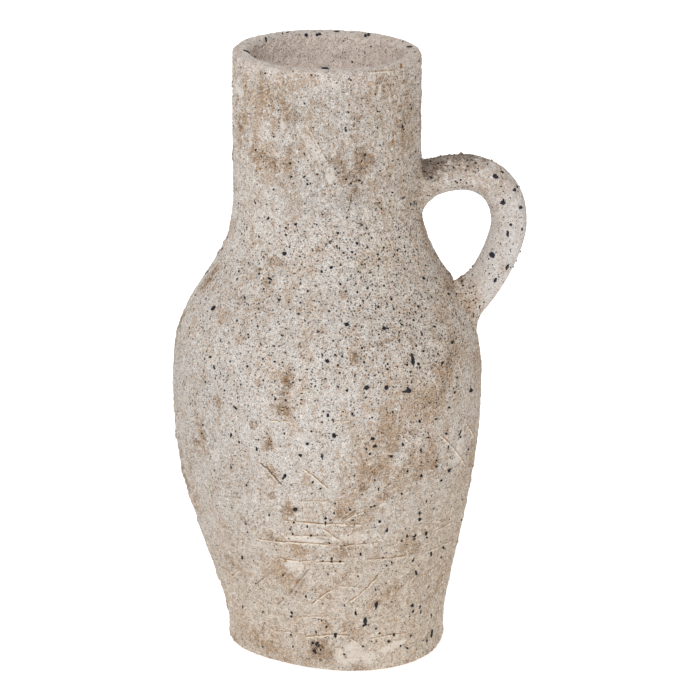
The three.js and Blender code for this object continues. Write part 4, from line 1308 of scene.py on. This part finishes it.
def bedded(spot, facing, wide, tall, proud):
    """Where a chip lies: its spot, its turn and its three half-sizes, from its half-axes on the skin."""
    along = tall - np.dot(tall, facing) * facing
    half_tall = np.linalg.norm(along)
    along /= half_tall
    across = np.cross(along, facing)
    turn = Matrix((across, along, facing)).transposed().to_euler()
    return spot, turn, (abs(np.dot(wide, across)), half_tall, proud)


def grit_seen(u, v, wide, tall=None, lean=0.0):
    """The bed of a chip that the photograph shows."""
    tall = wide if tall is None else tall
    around = [struck(u + du * BESIDE_PX, v + dv * BESIDE_PX)
              for du, dv in ((0, 0), (1, 0), (-1, 0), (0, 1), (0, -1))]
    facing = unit(sum(hit[1] for hit in around if hit))
    spot = around[0][0]
    axes = axes_seen(spot, facing, u, v, CHIP_FULL * wide / 2, CHIP_FULL * tall / 2, lean)
    proud = CHIP_PROUD * (1 + 0.28 * min(wide, tall, 4) + 0.09 * max(wide, tall))
    return bedded(spot, facing, *axes, proud)


def on_clay(spot):
    """The nearest spot of the finished clay."""
    finds = [shape.find_nearest(Vector(spot), NEAREST_CLAY) for shape in clay_shapes]
    finds = [find for find in finds if find[0]]
    return np.array(min(finds, key=lambda find: find[3])[0]) if finds else np.array(spot)


def grit_strewn(seed, count, heights, turns, half_sizes, proud):
    """Beds on a part of the wall between two heights and two angles, in degrees from the handle."""
    draw = np.random.default_rng(seed)
    beds = []
    for _ in range(count):
        half = half_sizes[0] + (half_sizes[1] - half_sizes[0]) * draw.random() ** 2.5
        angle, z = math.radians(draw.uniform(*turns)), draw.uniform(*heights)
        half_wide, half_tall = half * draw.uniform(0.6, 1), half * draw.uniform(0.8, 1.7)
        spot, wide, tall, facing = patch_at(angle, z, half_wide, half_tall, draw.uniform(-50, 50))
        beds.append(bedded(on_clay(spot), facing, wide, tall, proud))
    return beds


def strewn(name, material, beds, ragged, corner, seed):
    """One piece of many chips or crumbs, each in its own bed."""
    mesh = bpy.data.meshes.new(name)
    mesh.from_pydata([tuple(spot) for spot, _, _ in beds], [], [])
    keep_values(mesh, "turn", np.array([tuple(turn) for _, turn, _ in beds]))
    keep_values(mesh, "half_size", np.array([size for _, _, size in beds]))
    piece = put_up(name, mesh)
    made_by(sunk_chips, chip_inputs, piece,
            {"Raggedness": ragged, "Corner size": corner, "Seed": seed, "Stone": material})
    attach(piece, "root")


def stone(name, dark, light):
    """Bare stone, a little uneven in colour and shine."""
    made, tree, shader = new_material(name)
    mm = in_millimetres(tree, add_node(tree, "ShaderNodeTexCoord").outputs["Object"])
    cloud = wave(tree, mm, 0.7, 2, 0.6)
    colour = blended(tree, between(tree, cloud, 0.4, 0.75), from_screen(*dark), from_screen(*light))
    fill(tree, shader, {"Base Color": colour, "Roughness": between(tree, cloud, 0.3, 0.7, 0.85, 0.6),
                        "Specular IOR Level": 0.3})
    return made


iron_stone = stone("dark_iron_stone", (20, 20, 26), (48, 47, 54))
body_beds = [grit_seen(*chip) for chip in NECK_GRIT + SHOULDER_GRIT + BELLY_GRIT + LOWER_GRIT + FOOT_GRIT]
body_beds += grit_strewn(61, 300, (0.09, 0.298), UNSEEN_TURNS, (0.0004, 0.0012), CHIP_PROUD)
body_beds += grit_strewn(62, 90, (0.003, 0.09), UNSEEN_TURNS, (0.0004, 0.0014), CHIP_PROUD)
strewn("body_dark_grit", iron_stone, body_beds, ragged=1.5, corner=0.0006, seed=1.0)
slate = stone("blue_black_slate", (26, 27, 36), (60, 61, 74))
rim_beds = [grit_seen(*chip) for chip in RIM_GRIT]
strewn("rim_dark_grit", slate, rim_beds, ragged=1.3, corner=0.0007, seed=2.0)
handle_beds = [grit_seen(*chip) for chip in HANDLE_GRIT]
draw = np.random.default_rng(63)
for _ in range(ROLL_CHIPS):
    along = draw.uniform(UPPER_ROOT_CLEAR, LOOP_LENGTH - LOWER_ROOT_CLEAR)
    turn = math.radians(draw.uniform(*ROLL_CHIP_TURNS))
    spots, outs = roll_skin([along], [turn])
    half = 0.0004 + 0.001 * draw.random() ** 2
    tall = half * unit(np.cross(outs[0], draw.normal(size=3)))
    wide = np.cross(tall, outs[0]) * draw.uniform(0.6, 1)
    handle_beds.append(bedded(on_clay(spots[0]), outs[0], wide, tall, CHIP_PROUD))
strewn("handle_dark_grit", slate, handle_beds, ragged=1.5, corner=0.0008, seed=3.0)

# The ochre grit. A few crumbs of iron-stained sand that burnt orange-brown, bedded like the dark chips.
# Most of it is dust in the clay's own colour, and only these are large enough to stand out.
OCHRE_GRIT = (
    (391.6, 140.6, 3, 4.2), (260.2, 169, 2.1), (400.7, 65.9, 3, 4.6), (401.4, 585.7, 1.9),
    (283, 598.2, 2.5, 1.8), (297.7, 581.4, 2.2, 6, 30), (285.5, 561, 3.6, 1.6), (335.5, 571, 1.7),
    (262.5, 628.5, 2.2), (265, 623, 2), (453.8, 286, 2.7, 2), (388.5, 455.5, 1.8), (430, 437.5, 2),
    (264, 522, 1.8))
ochre_stone = stone("ochre_sandstone", (140, 100, 68), (184, 144, 106))
ochre_beds = [grit_seen(*chip) for chip in OCHRE_GRIT]
ochre_beds += grit_strewn(64, 40, (0.004, 0.3), UNSEEN_TURNS, (0.0004, 0.001), CHIP_PROUD)
strewn("body_ochre_grit", ochre_stone, ochre_beds, ragged=1.4, corner=0.0006, seed=5.0)

# The clay crumbs. Crumbs and flakes of the same clay that stuck to the wet skin and were fired on.
# They stand on the crusts, along both edges of the neck and in the corners of the handle's roots.
# Read from the photograph: a crumb's middle in pixels, and its half-sizes in millimetres.
CRUMB_LONG = 1.3
CRUMBS_ON_CRUST = 5
CRUMBS_ON_ROLL = 60
CRUST_SPREAD = 0.45
CRUST_CRUMB_HALVES = (0.00025, 0.0006)
ROLL_CRUMB_HALVES = (0.0002, 0.0005)
ROLL_CRUMB_TURNS = (-75, 75)
ALL_ROUND = (0, 360)
EDGE_CRUMBS = (
    (235.2, 121, 0.9, 2.6, 1.1), (235.4, 145, 0.8, 0.8, 0.8), (235.4, 152.5, 0.8, 0.9, 0.9),
    (235, 156.7, 0.8, 1.0, 0.9), (419, 77, 0.8, 0.8, 0.7), (419, 85, 0.8, 1.0, 0.7),
    (418.6, 91, 0.8, 0.7, 0.6), (418.4, 104.5, 0.9, 1.5, 0.7), (419.5, 155.5, 1.2, 1.2, 1.4),
    (422, 160, 1.4, 0.9, 1.2), (185.5, 471, 0.8, 1.6, 0.8), (178.6, 360, 0.8, 1.4, 0.6),
    (180, 330, 0.8, 1.0, 0.6), (205, 290, 0.8, 1.2, 0.6), (478, 380, 0.8, 1.2, 0.6),
    (474, 340, 0.8, 1.2, 0.5), (233.5, 215, 0.8, 1.0, 0.6), (198, 513, 0.8, 1.0, 0.5))
HANDLE_CRUMBS = (
    (434, 159, 0.9), (441, 157, 0.8), (449, 155.7, 0.9), (454, 155, 0.7), (461, 154.5, 1.1),
    (470, 155.5, 0.6), (491, 161.5, 0.6), (517, 188, 0.6), (519, 251, 0.7), (515, 260, 0.6),
    (511, 266, 0.6), (447.5, 274, 0.8), (442.5, 267.5, 0.7), (436, 259, 0.7), (470, 269, 0.7),
    (474.5, 267, 0.9), (460.5, 275, 0.6))


def crumb(spot, facing, across, half, proud):
    """The bed of one crumb on the nearest clay, a little longer than wide."""
    wide, tall = half * np.cross(across, facing), half * CRUMB_LONG * across
    return bedded(on_clay(spot), facing, wide, tall, half * proud)


crumb_beds = []
for u, v, half_deep, half_tall, proud in EDGE_CRUMBS:
    spot, facing = seen_on_skin(u, v)
    across = np.cross((0, 0, 1), facing)
    rise = np.cross(facing, unit(across))
    crumb_beds.append(bedded(on_clay(spot), facing, across * half_deep / 1000, rise * half_tall / 1000,
                             proud / 1000))
draw = np.random.default_rng(71)
for part in (foot_marks, lower_marks, belly_marks, shoulder_marks, neck_marks):
    for middle, wide, tall, facing in part["crusts"]:
        for _ in range(CRUMBS_ON_CRUST):
            a, b = draw.normal(0, CRUST_SPREAD, 2)
            half = draw.uniform(*CRUST_CRUMB_HALVES)
            across = unit(np.cross(facing, draw.normal(size=3)))
            crumb_beds.append(crumb(middle + a * wide + b * tall, facing, across, half, proud=0.7))
handle_crumbs = [(CAMERA_AT - sight_line(u, v) * CAMERA_AT[1] / sight_line(u, v)[1], half / 1000)
                 for u, v, half in HANDLE_CRUMBS]
for _ in range(CRUMBS_ON_ROLL):
    along = 0.003 + 0.03 * draw.random() ** 1.5
    turn = math.radians(draw.uniform(*ROLL_CRUMB_TURNS))
    handle_crumbs.append((roll_skin([along], [turn])[0][0], draw.uniform(*ROLL_CRUMB_HALVES)))
root_beds = []
for spot, half in handle_crumbs:
    across = unit(draw.normal(size=3))
    facing = unit(np.cross(across, draw.normal(size=3)))
    root_beds.append(crumb(spot, facing, across, half, proud=0.8))
stained_crumb = stone("stained_crumb_clay", (112, 96, 82), (172, 154, 138))
strewn("handle_root_crumbs", stained_crumb, root_beds,
       ragged=1.2, corner=0.0005, seed=6.0)
crumb_beds += grit_strewn(72, 900, (0.09, 0.3), ALL_ROUND, (0.0003, 0.0007), proud=0.00032)
crumb_beds += grit_strewn(73, 160, (0.004, 0.09), ALL_ROUND, (0.0003, 0.0006), proud=0.00025)
strewn("fired_on_crumbs", body_clay, crumb_beds, ragged=1.2, corner=0.0005, seed=4.0)

# The studio. A plain pale floor that runs on past the view, a wide soft light from the upper left, a
# weaker one from behind and an even white surround, as for a catalogue picture.
FLOOR_HALF = 6.0
FLOOR_DROP = 0.0003
LIGHTS_LOOK_AT = (0, 0, 0.15)
floor_mesh = bpy.data.meshes.new("studio_floor")
floor_mesh.from_pydata([(x * FLOOR_HALF, y * FLOOR_HALF, -FLOOR_DROP)
                        for x, y in ((-1, -1), (1, -1), (1, 1), (-1, 1))], [], [(0, 1, 2, 3)])
studio_floor = put_up("studio_floor", floor_mesh)
floor_paint, floor_tree, floor_shader = new_material("studio_floor_paint")
fill(floor_tree, floor_shader, {"Base Color": (0.92, 0.92, 0.92, 1), "Roughness": 1.0,
                                "Emission Color": (1, 1, 1, 1), "Emission Strength": 0.62,
                                "Specular IOR Level": 0.0})
floor_mesh.materials.append(floor_paint)

surround = bpy.data.worlds.new("studio_surround")
surround.use_nodes = True
fill(surround.node_tree, surround.node_tree.nodes["Background"],
     {"Color": (1.0, 0.98, 0.965, 1), "Strength": 0.44})
bpy.context.scene.world = surround


def soft_light(name, at, size, power, colour):
    """A square soft light that looks at the jug's middle."""
    lamp = bpy.data.lights.new(name, "AREA")
    lamp.size = size
    lamp.energy = power
    lamp.color = colour
    light = put_up(name, lamp)
    light.location = at
    light.rotation_euler = (Vector(LIGHTS_LOOK_AT) - Vector(at)).to_track_quat("-Z", "Y").to_euler()


soft_light("key_light", (-0.75, -2.6, 3.0), size=1.8, power=70, colour=(1.0, 0.995, 0.985))
soft_light("back_light", (-0.5, 2.8, 2.6), size=2.0, power=34, colour=(1.0, 0.99, 0.98))
bpy.context.scene.view_settings.view_transform = "Standard"
bpy.context.scene.view_settings.look = "None"
